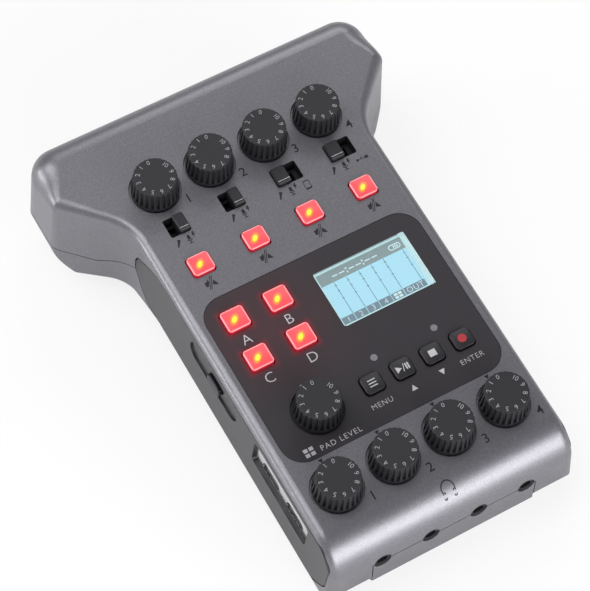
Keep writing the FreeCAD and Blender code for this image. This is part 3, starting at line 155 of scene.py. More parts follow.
class RecorderSizes(bpy.types.PropertyGroup):
    """Sizes that a user may change"""
    dial_top: FloatProperty(
        name="Dial top", description="Height of a dial's top over the panel, mm", default=7.6)
    dial_figures: FloatProperty(
        name="Dial figures", description="Radius of the ring of figures, mm", default=5.1)
    figure_height: FloatProperty(
        name="Figure height", description="Height of a dial's figures, mm", default=1.4)
    ink: FloatProperty(
        name="Ink", description="How far print stands out of what it is on, mm", default=0.03)
    keytop_rise: FloatProperty(
        name="Keytop rise", description="Height of a lit keytop over the panel, mm", default=1.0)
    key_rise: FloatProperty(
        name="Key rise", description="Height of a dark key over the panel, mm", default=0.75)
    screen_depth: FloatProperty(
        name="Screen depth", description="Depth of the lit picture, mm", default=2.76)


class RecorderColours(bpy.types.PropertyGroup):
    """sRGB hex colours that a user may change"""
    paint: StringProperty(
        name="Paint", description="Silver-grey paint of the shells", default="#838287")
    paint_dark: StringProperty(
        name="Paint in shade", description="Darkest flakes of the paint", default="#7b7a7f")
    paint_light: StringProperty(
        name="Paint in light", description="Brightest flakes of the paint", default="#949398")
    panel: StringProperty(name="Panel", description="Control panel", default="#2c292d")
    side: StringProperty(
        name="Side panel", description="Side panels and battery door", default="#2d2d30")
    dial: StringProperty(name="Dial", description="Dials and slide knobs", default="#2a292c")
    # Painted shade: the fluted sides of the dials are drawn darker than their tops, as less light falls on them.
    dial_side: StringProperty(
        name="Dial side", description="Fluted sides of the dials", default="#201f22")
    key: StringProperty(name="Key", description="Dark keys", default="#28262a")
    light_ink: StringProperty(
        name="Light ink", description="Print on dark pieces", default="#b9b7bb")
    figure_ink: StringProperty(
        name="Figure ink", description="Figures on the dials", default="#a09fa3")
    dark_ink: StringProperty(name="Dark ink", description="Print on the paint", default="#1d1b20")
    lit_body: StringProperty(
        name="Lit keytop", description="Body of a lit keytop", default="#e8444c")
    lit_rim: StringProperty(name="Lit rim", description="Rim of a lit keytop", default="#f58a8e")
    lit_side: StringProperty(
        name="Lit side", description="Sides of a lit keytop", default="#a3202f")
    lit_glow: StringProperty(
        name="Lit glow", description="Middle of a lit keytop", default="#ee4a44")
    lit_ring: StringProperty(
        name="Lit ring", description="Glow round the lamp in a keytop", default="#ff8a2c")
    lit_core: StringProperty(name="Lit core", description="Lamp in a lit keytop", default="#ffdf3a")
    # Painted light: the two reds below are the pads' light painted on the panel round them.
    red_far: StringProperty(
        name="Red light", description="Light of the pads far over the panel", default="#6a2732")
    red_near: StringProperty(
        name="Near red light", description="Light of the pads beside them", default="#8c1a28")
    # Painted shade: the sides of the dark keys are drawn near black, for the shade on them and in the gaps round
    # them.
    key_side: StringProperty(
        name="Key side", description="Sides of the dark keys", default="#0f0e10")
    screen: StringProperty(name="Screen", description="Backlight of the screen", default="#b4e6f6")
    screen_ink: StringProperty(
        name="Screen ink", description="Grey of the screen's segments", default="#93a5a6")


class RecorderView(bpy.types.PropertyGroup):
    """The camera's place and lens"""
    azimuth: FloatProperty(
        name="Azimuth", description="Turn of the camera, degrees", default=-29.349)
    elevation: FloatProperty(
        name="Elevation", description="Height of the camera over level, degrees", default=58.009)
    distance: FloatProperty(
        name="Distance", description="Camera to target", default=0.68472, unit="LENGTH")
    lens: FloatProperty(name="Lens", description="Focal length, mm", default=146.16)
    roll: FloatProperty(
        name="Roll", description="Turn of the camera about its own axis, degrees", default=-0.33)
    target: FloatVectorProperty(
        name="Target", description="Point the camera looks at", unit="LENGTH", precision=6,
        default=(-0.007986, -0.003111, 0.034118))


def sizes():
    """The sizes of this scene."""
    return bpy.context.scene.recorder_sizes


def colours():
    """The colours of this scene."""
    return bpy.context.scene.recorder_colours


# Materials.

def linear(code):
    """An sRGB hex colour as linear red, green, blue and alpha."""
    parts = [int(code[i:i + 2], 16) / 255 for i in (1, 3, 5)]
    curve = [part / 12.92 if part <= 0.04045 else ((part + 0.055) / 1.055) ** 2.4 for part in parts]
    return curve + [1.0]


def shaded(colour, factor):
    """A linear colour made darker or lighter by a factor."""
    return [min(1.0, part * factor) for part in colour[:3]] + [1.0]


def add_node(tree, kind, inputs=None, **settings):
    """Adds a node, sets its properties, and sets or links its inputs."""
    made = tree.nodes.new(kind)
    for name, value in settings.items():
        setattr(made, name, value)
    for name, value in (inputs or {}).items():
        if isinstance(value, bpy.types.NodeSocket):
            tree.links.new(value, made.inputs[name])
        else:
            made.inputs[name].default_value = value
    return made


def new_material(name, **constants):
    """A material with one principled shader whose constants are set on its own sockets."""
    material = bpy.data.materials.new(name)
    material.use_nodes = True
    shader = material.node_tree.nodes["Principled BSDF"]
    for socket, value in constants.items():
        shader.inputs[socket.replace("_", " ")].default_value = value
    return material, material.node_tree, shader


def on_model(tree):
    """Where a point is on the model, in metres."""
    return add_node(tree, "ShaderNodeTexCoord").outputs["Object"]


def vector_math(tree, operation, first, second=None):
    """A step of vector arithmetic, which gives a vector or, for some steps, a number."""
    inputs = {0: first} if second is None else {0: first, 1: second}
    made = add_node(tree, "ShaderNodeVectorMath", inputs, operation=operation)
    return made.outputs["Value" if operation in ("LENGTH", "DISTANCE", "DOT_PRODUCT") else "Vector"]


def number_math(tree, operation, first, second):
    """A step of arithmetic on two numbers."""
    return add_node(tree, "ShaderNodeMath", {0: first, 1: second}, operation=operation).outputs["Value"]


def facing_up(tree):
    """How squarely a surface faces the way that the panel does: 1 is the same way."""
    normal = add_node(tree, "ShaderNodeTexCoord").outputs["Normal"]
    return vector_math(tree, "DOT_PRODUCT", normal, PANEL_UP)


def grain(tree, size_mm):
    """Fine noise whose grains are about one size across."""
    made = add_node(tree, "ShaderNodeTexNoise", {
        "Vector": on_model(tree), "Scale": 1.0 / (size_mm * MM), "Detail": 2.0, "Roughness": 0.6})
    return made.outputs["Fac"]


def blended(tree, factor, first, second):
    """Two colours mixed by a factor."""
    made = add_node(tree, "ShaderNodeMix", {0: factor, 6: first, 7: second}, data_type="RGBA")
    return made.outputs[2]


def spread(tree, value, low, high):
    """A value stretched so that low becomes 0 and high becomes 1."""
    limits = {"Value": value, "From Min": low, "From Max": high}
    return add_node(tree, "ShaderNodeMapRange", limits, clamp=True).outputs["Result"]


def roughen(tree, shader, height, depth_mm, strength=1.0):
    """Feeds a height pattern to the shader as bumps of a real depth."""
    inputs = {"Height": height, "Distance": depth_mm * MM, "Strength": strength}
    bump = add_node(tree, "ShaderNodeBump", inputs)
    tree.links.new(bump.outputs["Normal"], shader.inputs["Normal"])


def moulded(name, colour, roughness, grain_mm=0.25, depth_mm=0.012, contrast=0.12, sheen=0.5):
    """Injection-moulded plastic. Its spark-eroded grain breaks highlights into fine specks."""
    material, tree, shader = new_material(name, Roughness=roughness, IOR=1.5, Specular_IOR_Level=sheen)
    noise = grain(tree, grain_mm)
    base = linear(colour)
    dark, light = shaded(base, 1 - contrast), shaded(base, 1 + contrast)
    tone = blended(tree, spread(tree, noise, 0.35, 0.65), dark, light)
    tree.links.new(tone, shader.inputs["Base Color"])
    roughen(tree, shader, noise, depth_mm)
    return material


def silver_paint():
    """Metallic lacquer on ABS: sprayed aluminium flakes in clear grey binder glint one by one."""
    tint = colours()
    material, tree, shader = new_material(
        "silver-grey metallic lacquer on ABS", Metallic=0.8, Roughness=0.38)
    # Real flakes are about 0.02 mm. They are drawn eight times coarser, so that they show from close by.
    flakes = add_node(tree, "ShaderNodeTexVoronoi", {"Vector": on_model(tree), "Scale": 1.0 / (0.16 * MM)})
    flake = add_node(tree, "ShaderNodeSeparateColor", {"Color": flakes.outputs["Color"]})
    cloud = spread(tree, grain(tree, 0.7), 0.3, 0.7)
    body = blended(tree, cloud, linear(tint.paint_dark), linear(tint.paint))
    glint = spread(tree, flake.outputs["Red"], 0.8, 1.0)
    tree.links.new(blended(tree, glint, body, linear(tint.paint_light)), shader.inputs["Base Color"])
    roughen(tree, shader, flake.outputs["Green"], 0.004, 0.3)
    return material


def lit_silicone():
    """Translucent silicone over a lamp: deep red sides, a pale rim and a yellow streak of light."""
    tint = colours()
    material, tree, shader = new_material(
        "translucent silicone over a red lamp", Roughness=0.38, IOR=1.41, Emission_Strength=0.6,
        Coat_Weight=0.15, Coat_Roughness=0.3)
    where = add_node(tree, "ShaderNodeUVMap", uv_map="keytop").outputs["UV"]
    middle = (0.5, 0.5, 0.0)
    # The lamp shows as a streak about 2.7 mm long and 1.7 mm wide, turned 50 degrees.
    streak = add_node(tree, "ShaderNodeMapping", {
        "Vector": where, "Location": (0.45, 0.48, 0.0), "Rotation": (0.0, 0.0, math.radians(50)),
        "Scale": (0.2, 0.125, 1.0)}, vector_type="TEXTURE")
    from_lamp = vector_math(tree, "LENGTH", streak.outputs["Vector"])
    from_middle = vector_math(tree, "DISTANCE", where, middle)
    apart = vector_math(tree, "ABSOLUTE", vector_math(tree, "SUBTRACT", where, middle))
    sides = add_node(tree, "ShaderNodeSeparateXYZ", {"Vector": apart})
    edge = number_math(tree, "MAXIMUM", sides.outputs["X"], sides.outputs["Y"])
    face = blended(tree, spread(tree, edge, 0.42, 0.46), linear(tint.lit_body), linear(tint.lit_rim))
    body = blended(tree, spread(tree, facing_up(tree), 0.35, 0.75), linear(tint.lit_side), face)
    glow = blended(tree, spread(tree, from_middle, 0.34, 0.1), body, linear(tint.lit_glow))
    ring = blended(tree, spread(tree, from_lamp, 1.6, 0.8), glow, linear(tint.lit_ring))
    core = blended(tree, spread(tree, from_lamp, 0.95, 0.45), ring, linear(tint.lit_core))
    tree.links.new(core, shader.inputs["Base Color"])
    tree.links.new(core, shader.inputs["Emission Color"])
    return material


def capped_plastic(name, top_colour, side_shade_colour, roughness):
    """Moulded ABS with a matt grained top. Its sides, which stand in the gaps round it, are drawn in a darker
    colour as painted shade.
    """
    material, tree, shader = new_material(name, Roughness=roughness, IOR=1.5, Specular_IOR_Level=0.35)
    noise = grain(tree, 0.3)
    base = linear(top_colour)
    top = blended(tree, spread(tree, noise, 0.35, 0.65), shaded(base, 0.88), base)
    # Painted shade: surfaces that turn away from the panel's normal take the darker side colour.
    both = blended(tree, spread(tree, facing_up(tree), 0.6, 0.95), linear(side_shade_colour), top)
    tree.links.new(both, shader.inputs["Base Color"])
    roughen(tree, shader, noise, 0.008)
    return material


def outside(tree, centre, half):
    """How far a point lies outside an upright box, in metres."""
    apart = vector_math(tree, "ABSOLUTE", vector_math(tree, "SUBTRACT", on_model(tree), centre))
    past = vector_math(tree, "SUBTRACT", apart, half)
    return vector_math(tree, "LENGTH", vector_math(tree, "MAXIMUM", past, (0.0, 0.0, 0.0)))


def panel_plastic():
    """Matt moulded ABS of the control panel, with red light painted where the lit pads shine on it."""
    tint = colours()
    material = moulded("matt moulded ABS, control panel", tint.panel, 0.5, 0.2, 0.006, 0.07, 0.4)
    tree = material.node_tree
    shader = tree.nodes["Principled BSDF"]
    tone = shader.inputs["Base Color"].links[0].from_socket
    half = (PAD_SIZE[0] / 2 * MM, PAD_SIZE[1] / 2 * MM, 1.0)
    for name in PAD_BUTTONS:
        reach = outside(tree, JOINTS[name + "_press"]["pos_m"], half)
        # The painted red light reaches 14 mm from a pad as a weak tint, and 2.2 mm as a strong one.
        wide = number_math(tree, "MULTIPLY", spread(tree, reach, 0.014, 0.0), 0.1)
        near = number_math(tree, "POWER", spread(tree, reach, 0.0022, 0.0), 2.0)
        close = number_math(tree, "MULTIPLY", near, 0.75)
        tone = blended(tree, wide, tone, linear(tint.red_far))
        tone = blended(tree, close, tone, linear(tint.red_near))
    tree.links.new(tone, shader.inputs["Base Color"])
    return material


def clear_acrylic():
    """Polished acrylic window: it lets the screen through and mirrors the lamps sharply."""
    return new_material("polished clear acrylic", Base_Color=linear("#f2f6f8"), Roughness=0.02,
                        IOR=1.49, Transmission_Weight=1.0)[0]


def glowing(name, colour, strength):
    """A film lit from behind, which glows evenly and hardly shades."""
    material, tree, shader = new_material(name, Roughness=0.4, Emission_Strength=strength)
    base = linear(colour)
    mixed = blended(tree, spread(tree, grain(tree, 0.4), 0.3, 0.7), shaded(base, 0.96), base)
    tree.links.new(mixed, shader.inputs["Emission Color"])
    shader.inputs["Base Color"].default_value = shaded(base, 0.25)
    return material


def metal(name, colour, roughness, grain_mm=0.3, along=(1.0, 1.0, 1.0)):
    """Plated or brushed metal. A grain stretched one way draws its highlights out across it."""
    material, tree, shader = new_material(name, Metallic=1.0)
    stretch = add_node(tree, "ShaderNodeMapping", {"Vector": on_model(tree), "Scale": along})
    noise = add_node(tree, "ShaderNodeTexNoise", {
        "Vector": stretch.outputs["Vector"], "Scale": 1.0 / (grain_mm * MM)}).outputs["Fac"]
    base = linear(colour)
    tree.links.new(blended(tree, noise, shaded(base, 0.88), base), shader.inputs["Base Color"])
    gloss = add_node(tree, "ShaderNodeMapRange", {
        "Value": noise, "To Min": roughness * 0.85, "To Max": roughness * 1.15})
    tree.links.new(gloss.outputs["Result"], shader.inputs["Roughness"])
    roughen(tree, shader, noise, 0.003)
    return material


def circuit_board():
    """Solder mask on glass-fibre board: smooth green, with the copper tracks paler under it."""
    material, tree, shader = new_material("solder mask on glass-fibre board", Roughness=0.35, IOR=1.5)
    tracks = add_node(tree, "ShaderNodeTexBrick", {
        "Vector": on_model(tree), "Color1": linear("#14532f"), "Color2": linear("#124a2a"),
        "Mortar": linear("#2b7a48"), "Scale": 1.0 / (5.0 * MM), "Mortar Size": 0.03})
    tree.links.new(tracks.outputs["Color"], shader.inputs["Base Color"])
    return material


def ink(name, colour):
    """Pad-printed ink: matt and slightly uneven."""
    return moulded(name, colour, 0.5, 0.5, 0.002, 0.05, 0.4)


# Materials of the added pieces, by their use. RECORDER_OT_finishes fills it.
ADDED = {}


def make_materials():
    """Makes the materials of the added pieces, and returns the one of each material slot."""
    tint = colours()
    ADDED.update({
        "light": ink("pad-printed light ink", tint.light_ink),
        "dark": ink("pad-printed dark ink", tint.dark_ink),
        "red": ink("pad-printed red ink", "#a8323b"),
        "figures": ink("pad-printed grey ink", tint.figure_ink),
        "lit": lit_silicone(),
        # The keys' sides take painted shade.
        "key": capped_plastic("matt moulded ABS, keys", tint.key, tint.key_side, 0.42),
        "gold": metal("gold-plated bronze contact", "#d8b45a", 0.25),
    })
    for use, name, colour, strength in (
        ("screen", "backlit liquid crystal, clear", tint.screen, 0.98),
        ("segments", "backlit liquid crystal, grey segments", tint.screen_ink, 0.9),
        ("cells", "backlit liquid crystal, blue-grey segments", "#7f95a1", 0.9),
        ("rim", "backlit diffuser edge", "#cdeef0", 0.93),
        ("lines", "backlit liquid crystal, dark lines", "#4d6a78", 0.9),
        ("digits", "backlit liquid crystal, pale segments", "#d9f1f5", 0.95),
    ):
        ADDED[use] = glowing(name, colour, strength)
    return {
        "shell_paint": silver_paint(),
        "dark_plastic": moulded("satin moulded ABS, side panels", tint.side, 0.36, 0.25, 0.006, 0.08),
        # The dials' sides take painted shade.
        "dial_plastic": capped_plastic("moulded ABS, dials", tint.dial, tint.dial_side, 0.5),
        "button_silicone": ADDED["lit"],
        "key_plastic": ADDED["key"],
        "clear_acrylic": clear_acrylic(),
        "display": moulded("black display frame", "#17181b", 0.4),
        "part_plastic": moulded("glass-filled nylon, sockets", "#161618", 0.5, 0.3, 0.012, 0.2),
        "circuit_board": circuit_board(),
        "screw_steel": metal("black zinc-plated steel", "#4a4a4e", 0.35),
        "plated_steel": metal("nickel-plated steel", "#d6d6d8", 0.16, 0.4),
        "latch_metal": metal("brushed steel tab", "#b0b0b4", 0.32, 0.2, (0.1, 1.0, 1.0)),
        "power_metal": metal("black-plated steel knob", "#3c3c40", 0.36, 0.2, (1.0, 0.1, 1.0)),
        "cell_sleeve": moulded("shrink sleeve of a dry cell", "#3a4a5c", 0.25),
        "foot_rubber": moulded("matt moulded rubber", "#1b1b1c", 0.8, 0.35, 0.02, 0.15, 0.3),
    }


# Modelling helpers. A piece is modelled in millimetres on the panel. Its place then goes into its mesh.

def clear_selection():
    """Object mode with nothing selected."""
    if bpy.context.mode != "OBJECT":
        bpy.ops.object.mode_set(mode="OBJECT")
    bpy.ops.object.select_all(action="DESELECT")


def settle(piece, name, body, material, place=None):
    """Puts a finished piece's place into its mesh and hangs it on its body."""
    piece.name = name
    piece.data.name = name
    piece.data.transform(PANEL @ (place or Matrix()) @ piece.matrix_basis)
    piece.matrix_basis = Matrix()
    piece.data.materials.clear()
    piece.data.materials.append(material)
    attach(piece, body)
    return piece


def take(pieces):
    """Selects some pieces alone, and makes the first of them the active one."""
    clear_selection()
    for piece in pieces:
        piece.select_set(True)
    bpy.context.view_layer.objects.active = pieces[0]


def joined(pieces):
    """Several meshes as one."""
    take(pieces)
    if len(pieces) > 1:
        bpy.ops.object.join()
    return bpy.context.view_layer.objects.active


def duplicate(piece):
    """A copy of a piece with its own mesh."""
    take([piece])
    bpy.ops.object.duplicate(linked=False)
    return bpy.context.view_layer.objects.active


def lettering(text, height, place, weight, spacing=1.0):
    """Printed characters as one thin mesh, centred on a place."""
    clear_selection()
    bpy.ops.object.text_add()
    words = bpy.context.object
    words.data.body = text
    # A capital of the built-in font is about 0.7 of its size.
    words.data.size = height / 0.7
    words.data.align_x = "CENTER"
    words.data.align_y = "CENTER"
    words.data.space_character = spacing
    words.data.offset = weight
    words.data.resolution_u = 3
    words.data.extrude = sizes().ink / 2
    bpy.ops.object.convert(target="MESH")
    piece = bpy.context.object
    corners = [vertex.co for vertex in piece.data.vertices]
    low, high = Vector(map(min, *corners)), Vector(map(max, *corners))
    piece.data.transform(place @ Matrix.Translation(-(low + high) / 2))
    return piece


def figure(loops, place, thick=None):
    """A flat printed figure bounded by closed loops of points, as one thin mesh."""
    curve = bpy.data.curves.new("figure", "CURVE")
    curve.dimensions = "2D"
    curve.fill_mode = "BOTH"
    curve.extrude = (thick or sizes().ink) / 2
    for loop in loops:
        spline = curve.splines.new("POLY")
        spline.points.add(len(loop) - 1)
        for point, (x, y) in zip(spline.points, loop):
            point.co = (x, y, 0.0, 1.0)
        spline.use_cyclic_u = True
    shape = bpy.data.objects.new("figure", curve)
    bpy.context.scene.collection.objects.link(shape)
    take([shape])
    bpy.ops.object.convert(target="MESH")
    piece = bpy.context.object
    piece.data.transform(place)
    return piece


def bar(width, depth, x=0.0, y=0.0, turn=0.0):
    """Corners of a bar about its middle."""
    c, s = math.cos(math.radians(turn)), math.sin(math.radians(turn))
    corners = [(sx * width / 2, sy * depth / 2) for sx, sy in ((-1, -1), (1, -1), (1, 1), (-1, 1))]
    return [(x + c * px - s * py, y + s * px + c * py) for px, py in corners]


def oval(rx, ry, x=0.0, y=0.0, start=0.0, sweep=360.0, count=24):
    """Points along an oval, or along a part of one."""
    steps = count if sweep >= 360 else count - 1
    angles = [math.radians(start + sweep * i / steps) for i in range(count)]
    return [(x + rx * math.cos(a), y + ry * math.sin(a)) for a in angles]


def arc_band(rx, ry, thick, x=0.0, y=0.0, start=0.0, sweep=180.0, count=20):
    """A bent band: an outer arc and its inner one as a single loop."""
    outer = oval(rx, ry, x, y, start, sweep, count)
    inner = oval(rx - thick, ry - thick, x, y, start, sweep, count)
    return outer + inner[::-1]


def rounded_box(width, depth, radius, x=0.0, y=0.0):
    """Points round an upright box with round corners."""
    points = []
    for sx, sy, start in ((1, 1, 0), (-1, 1, 90), (-1, -1, 180), (1, -1, 270)):
        cx, cy = x + sx * (width / 2 - radius), y + sy * (depth / 2 - radius)
        points += oval(radius, radius, cx, cy, start, 90, 6)
    return points


def lay_on(piece, node):
    """Lets a thin figure follow the surface of a node that lies under it."""
    surface = NODES[node]
    corners = [OFF_PANEL @ vertex.co for vertex in surface.data.vertices]
    tree = BVHTree.FromPolygons(corners, [tuple(face.vertices) for face in surface.data.polygons])
    clear_of_all = 30.0
    for vertex in piece.data.vertices:
        start = Vector((vertex.co.x, vertex.co.y, clear_of_all))
        hit = tree.ray_cast(start, Vector((0, 0, -1)))[0]
        if hit:
            vertex.co.z += hit.z
    return piece


def pick(piece, kind, wanted):
    """Selects, in edit mode, only the faces or the edges that pass a test."""
    mesh = bmesh.from_edit_mesh(piece.data)
    for part in (*mesh.verts, *mesh.edges, *mesh.faces):
        part.select = False
    for part in getattr(mesh, kind):
        if wanted(part):
            part.select_set(True)
    bmesh.update_edit_mesh(piece.data)


def is_upper(face):
    """Whether a face looks up."""
    return face.normal.z > 0.9


def is_upright(edge):
    """Whether an edge's two ends lie one over the other."""
    return abs(edge.verts[0].co.z - edge.verts[1].co.z) > 0.5


def keytop(width, depth, corner, low, top):
    """One keytop: a rounded block with a raised face and a soft upper edge."""
    clear_selection()
    bpy.ops.mesh.primitive_cube_add(size=1.0, location=(0.0, 0.0, (low + top) / 2))
    piece = bpy.context.object
    piece.scale = (width, depth, top - low)
    bpy.ops.object.transform_apply(location=True, rotation=False, scale=True)
    bpy.ops.object.mode_set(mode="EDIT")
    bpy.ops.mesh.select_mode(type="EDGE")
    pick(piece, "edges", is_upright)
    bpy.ops.mesh.bevel(offset=corner, segments=5, affect="EDGES")
    bpy.ops.mesh.select_mode(type="FACE")
    pick(piece, "faces", is_upper)
    bpy.ops.mesh.inset(thickness=FACE_INSET, depth=FACE_RISE)
    bpy.ops.object.mode_set(mode="OBJECT")
    soften = piece.modifiers.new("Soft edges", "BEVEL")
    soften.width = SOFT_EDGE
    soften.segments = 3
    soften.limit_method = "ANGLE"
    soften.angle_limit = math.radians(35)
    bpy.ops.object.modifier_apply(modifier="Soft edges")
    bpy.ops.object.shade_smooth_by_angle(angle=math.radians(50))
    # The map runs from 0 to 1 over the keytop, for the glow of the lamp under it.
    spread_map = piece.data.uv_layers.new(name="keytop")
    for loop in piece.data.loops:
        point = piece.data.vertices[loop.vertex_index].co
        spread_map.data[loop.index].uv = (point.x / width + 0.5, point.y / depth + 0.5)
    return piece


def tube(outer, inner, length, place):
    """A short tube along its own Z, open at its upper end and closed near the other."""
    clear_selection()
    bpy.ops.mesh.primitive_cylinder_add(vertices=24, radius=outer, depth=length)
    piece = bpy.context.object
    bpy.ops.object.mode_set(mode="EDIT")
    bpy.ops.mesh.select_mode(type="FACE")
    pick(piece, "faces", is_upper)
    bpy.ops.mesh.inset(thickness=outer - inner)
    bpy.ops.mesh.extrude_region_move(TRANSFORM_OT_translate={"value": (0.0, 0.0, -length * 0.9)})
    bpy.ops.object.mode_set(mode="OBJECT")
    bpy.ops.object.shade_smooth_by_angle(angle=math.radians(40))
    piece.data.transform(place)
    return piece


# Operators, one for each piece or group of like pieces.

class RECORDER_OT_finishes(bpy.types.Operator):
    """Gives every piece of the model the finish of its own material"""
    bl_idname = "recorder.finishes"
    bl_label = "Finishes"

    def execute(self, context):
        finishes = make_materials()
        slots = {part["node"]: part["material_slot"] for part in frame["record"]["subparts"]}
        own = {
            "control_panel": panel_plastic(),
            "indicator_lamps": moulded("milky acrylic light pipe", "#77777b", 0.3),
        }
        for name, piece in NODES.items():
            piece.data.materials.clear()
            piece.data.materials.append(own.get(name, finishes[slots[name]]))
        return {"FINISHED"}


class RECORDER_OT_keytops(bpy.types.Operator):
    """Models the lit mute keys and pads and the four dark keys"""
    bl_idname = "recorder.keytops"
    bl_label = "Keytops"

    def execute(self, context):
        # Names, size, corner radius, lowest point, finish and material slot.
        families = (
            (MUTES, MUTE_SIZE, 1.2, -3.6, "lit", "button_silicone"),
            (PAD_BUTTONS, PAD_SIZE, 1.0, -2.4, "lit", "button_silicone"),
            (KEYS, KEY_SIZE, 1.2, -2.4, "key", "key_plastic"),
        )
        rise = {"lit": sizes().keytop_rise, "key": sizes().key_rise}
        for names, (width, depth), corner, low, finish, slot in families:
            first = keytop(width, depth, corner, low, rise[finish] - FACE_RISE)
            copies = [first] + [duplicate(first) for _ in names[1:]]
            for name, piece in zip(names, copies):
                where = spot(name + "_press")
                settle(piece, name.replace("_button", "") + "_top", name, ADDED[finish],
                       at(where.x, where.y))
                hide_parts(name)
        return {"FINISHED"}


class RECORDER_OT_dial_figures(bpy.types.Operator):
    """Prints 0 to 10 round the top of each dial, as far as the dial turns"""
    bl_idname = "recorder.dial_figures"
    bl_label = "Dial Figures"

    def execute(self, context):
        top = sizes().dial_top + sizes().ink / 2
        for name in GAIN_DIALS + PHONE_DIALS + ["pad_volume_knob"]:
            where = spot(name + "_turn")
            zero = 90 - JOINTS[name + "_turn"]["range_deg"][1]
            figures = []
            for value in range(11):
                angle = zero + 30 * value
                x = where.x + sizes().dial_figures * math.cos(math.radians(angle))
                y = where.y + sizes().dial_figures * math.sin(math.radians(angle))
                place = at(x, y, top, angle - 90)
                figures.append(lettering(str(value), sizes().figure_height, place, -0.02, 0.92))
            settle(joined(figures), name + "_figures", name, ADDED["figures"])
        return {"FINISHED"}


class RECORDER_OT_shell_prints(bpy.types.Operator):
    """Prints the channel numbers, marks and symbols on the painted shell"""
    bl_idname = "recorder.shell_prints"
    bl_label = "Shell Prints"

    def execute(self, context):
        parts = []
        for places in (GAIN_NUMBERS, PHONE_NUMBERS):
            parts += [lettering(str(k), 2.9, at(*place), 0.018) for k, place in zip(CHANNELS, places)]
        for k in CHANNELS:
            phone, gain = spot(PHONE_DIALS[k - 1] + "_turn"), spot(GAIN_DIALS[k - 1] + "_turn")
            arrow = [(-0.75, 0.55), (0.75, 0.55), (0.0, -0.75)]
            parts.append(figure([arrow], at(phone.x + 0.15, phone.y + 9.15)))
            parts.append(figure([bar(0.25, 0.9)], at(gain.x, gain.y + 8.9)))
            mute = spot(MUTES[k - 1] + "_press")
            parts.append(mute_symbol(at(mute.x + 0.05, mute.y - 6.45)))
            (hand_x, hand_y), (studio_x, studio_y) = slider_kind(k)["hand"], slider_kind(k)["studio"]
            parts.append(microphone_symbol(at(mute.x + hand_x, hand_y, 0.0, -28)))
            parts.append(powered_symbol(at(mute.x + studio_x, studio_y)))
        parts.append(telephone_symbol(at(13.1, 29.9)))
        parts.append(plug_symbol(at(31.8, 30.05)))
        parts.append(headphone_symbol(at(0.3, -71.3)))
        piece = lay_on(joined(parts), "top_shell")
        settle(piece, "shell_prints", "housing", ADDED["dark"])
        return {"FINISHED"}


def slider_kind(channel):
    """What goes with the slider of a channel, by how many places it has."""
    return SLIDER_KINDS[2 if channel <= 2 else 3]


def figures_at(place, *loops):
    """Several plain figures on one place as one mesh."""
    return joined([figure([loop], place) for loop in loops])


def mute_symbol(place):
    """A loudspeaker struck through twice."""
    left = [(-2.0, 0.75), (-1.35, 0.75), (-0.55, 1.45), (-0.62, 0.35), (-1.3, -0.85), (-2.0, -0.75)]
    right = [(0.75, 0.75), (1.7, -1.35), (0.35, -0.9), (0.05, -0.6)]
    strokes = [bar(0.24, 4.4, 0.0, 0.05, -24), bar(0.24, 4.4, -0.5, 0.1, -24)]
    return figures_at(place, left, right, *strokes)


def microphone_symbol(place):
    """A hand microphone."""
    head = rounded_box(0.95, 0.85, 0.25, 0.0, 0.95)
    grip = [(-0.38, 0.5), (0.38, 0.5), (0.16, -1.25), (-0.16, -1.25)]
    return figures_at(place, head, grip)


def powered_symbol(place):
    """A studio microphone with a lightning stroke."""
    head = rounded_box(0.95, 1.65, 0.45, -0.8, 0.4)
    cradle = arc_band(0.9, 0.9, 0.26, -0.8, 0.0, 200, 140)
    stem = bar(0.26, 0.7, -0.8, -1.15)
    base = bar(1.3, 0.26, -0.8, -1.55)
    bolt = [(0.75, 1.7), (1.45, 1.7), (1.05, 0.95), (1.5, 0.95), (0.5, -0.3), (0.8, 0.6), (0.35, 0.6)]
    return figures_at(place, head, cradle, stem, base, bolt)


def telephone_symbol(place):
    """An upright telephone with a screen."""
    return figure([rounded_box(2.0, 3.1, 0.4), rounded_box(1.6, 2.2, 0.15, 0.0, 0.1)], place)


def plug_symbol(place):
    """A cable with a plain plug at one end."""
    shell = bar(1.1, 1.0, 1.35, 0.0)
    cable = bar(2.3, 0.24, -0.3, 0.0)
    end = oval(0.42, 0.42, -1.6, 0.0)
    branch = bar(0.22, 0.9, -0.2, 0.45, -35)
    return figures_at(place, shell, cable, end, branch)


def headphone_symbol(place):
    """Headphones seen from the front."""
    band = arc_band(2.15, 2.5, 0.36, 0.0, 0.0, -12, 204, 36)
    parts = [figure([band], place)]
    for x in (-1.6, 1.6):
        cup, hole = rounded_box(1.0, 2.0, 0.35, x, -1.4), rounded_box(0.4, 1.35, 0.15, x, -1.4)
        parts.append(figure([cup, hole], place))
    return joined(parts)


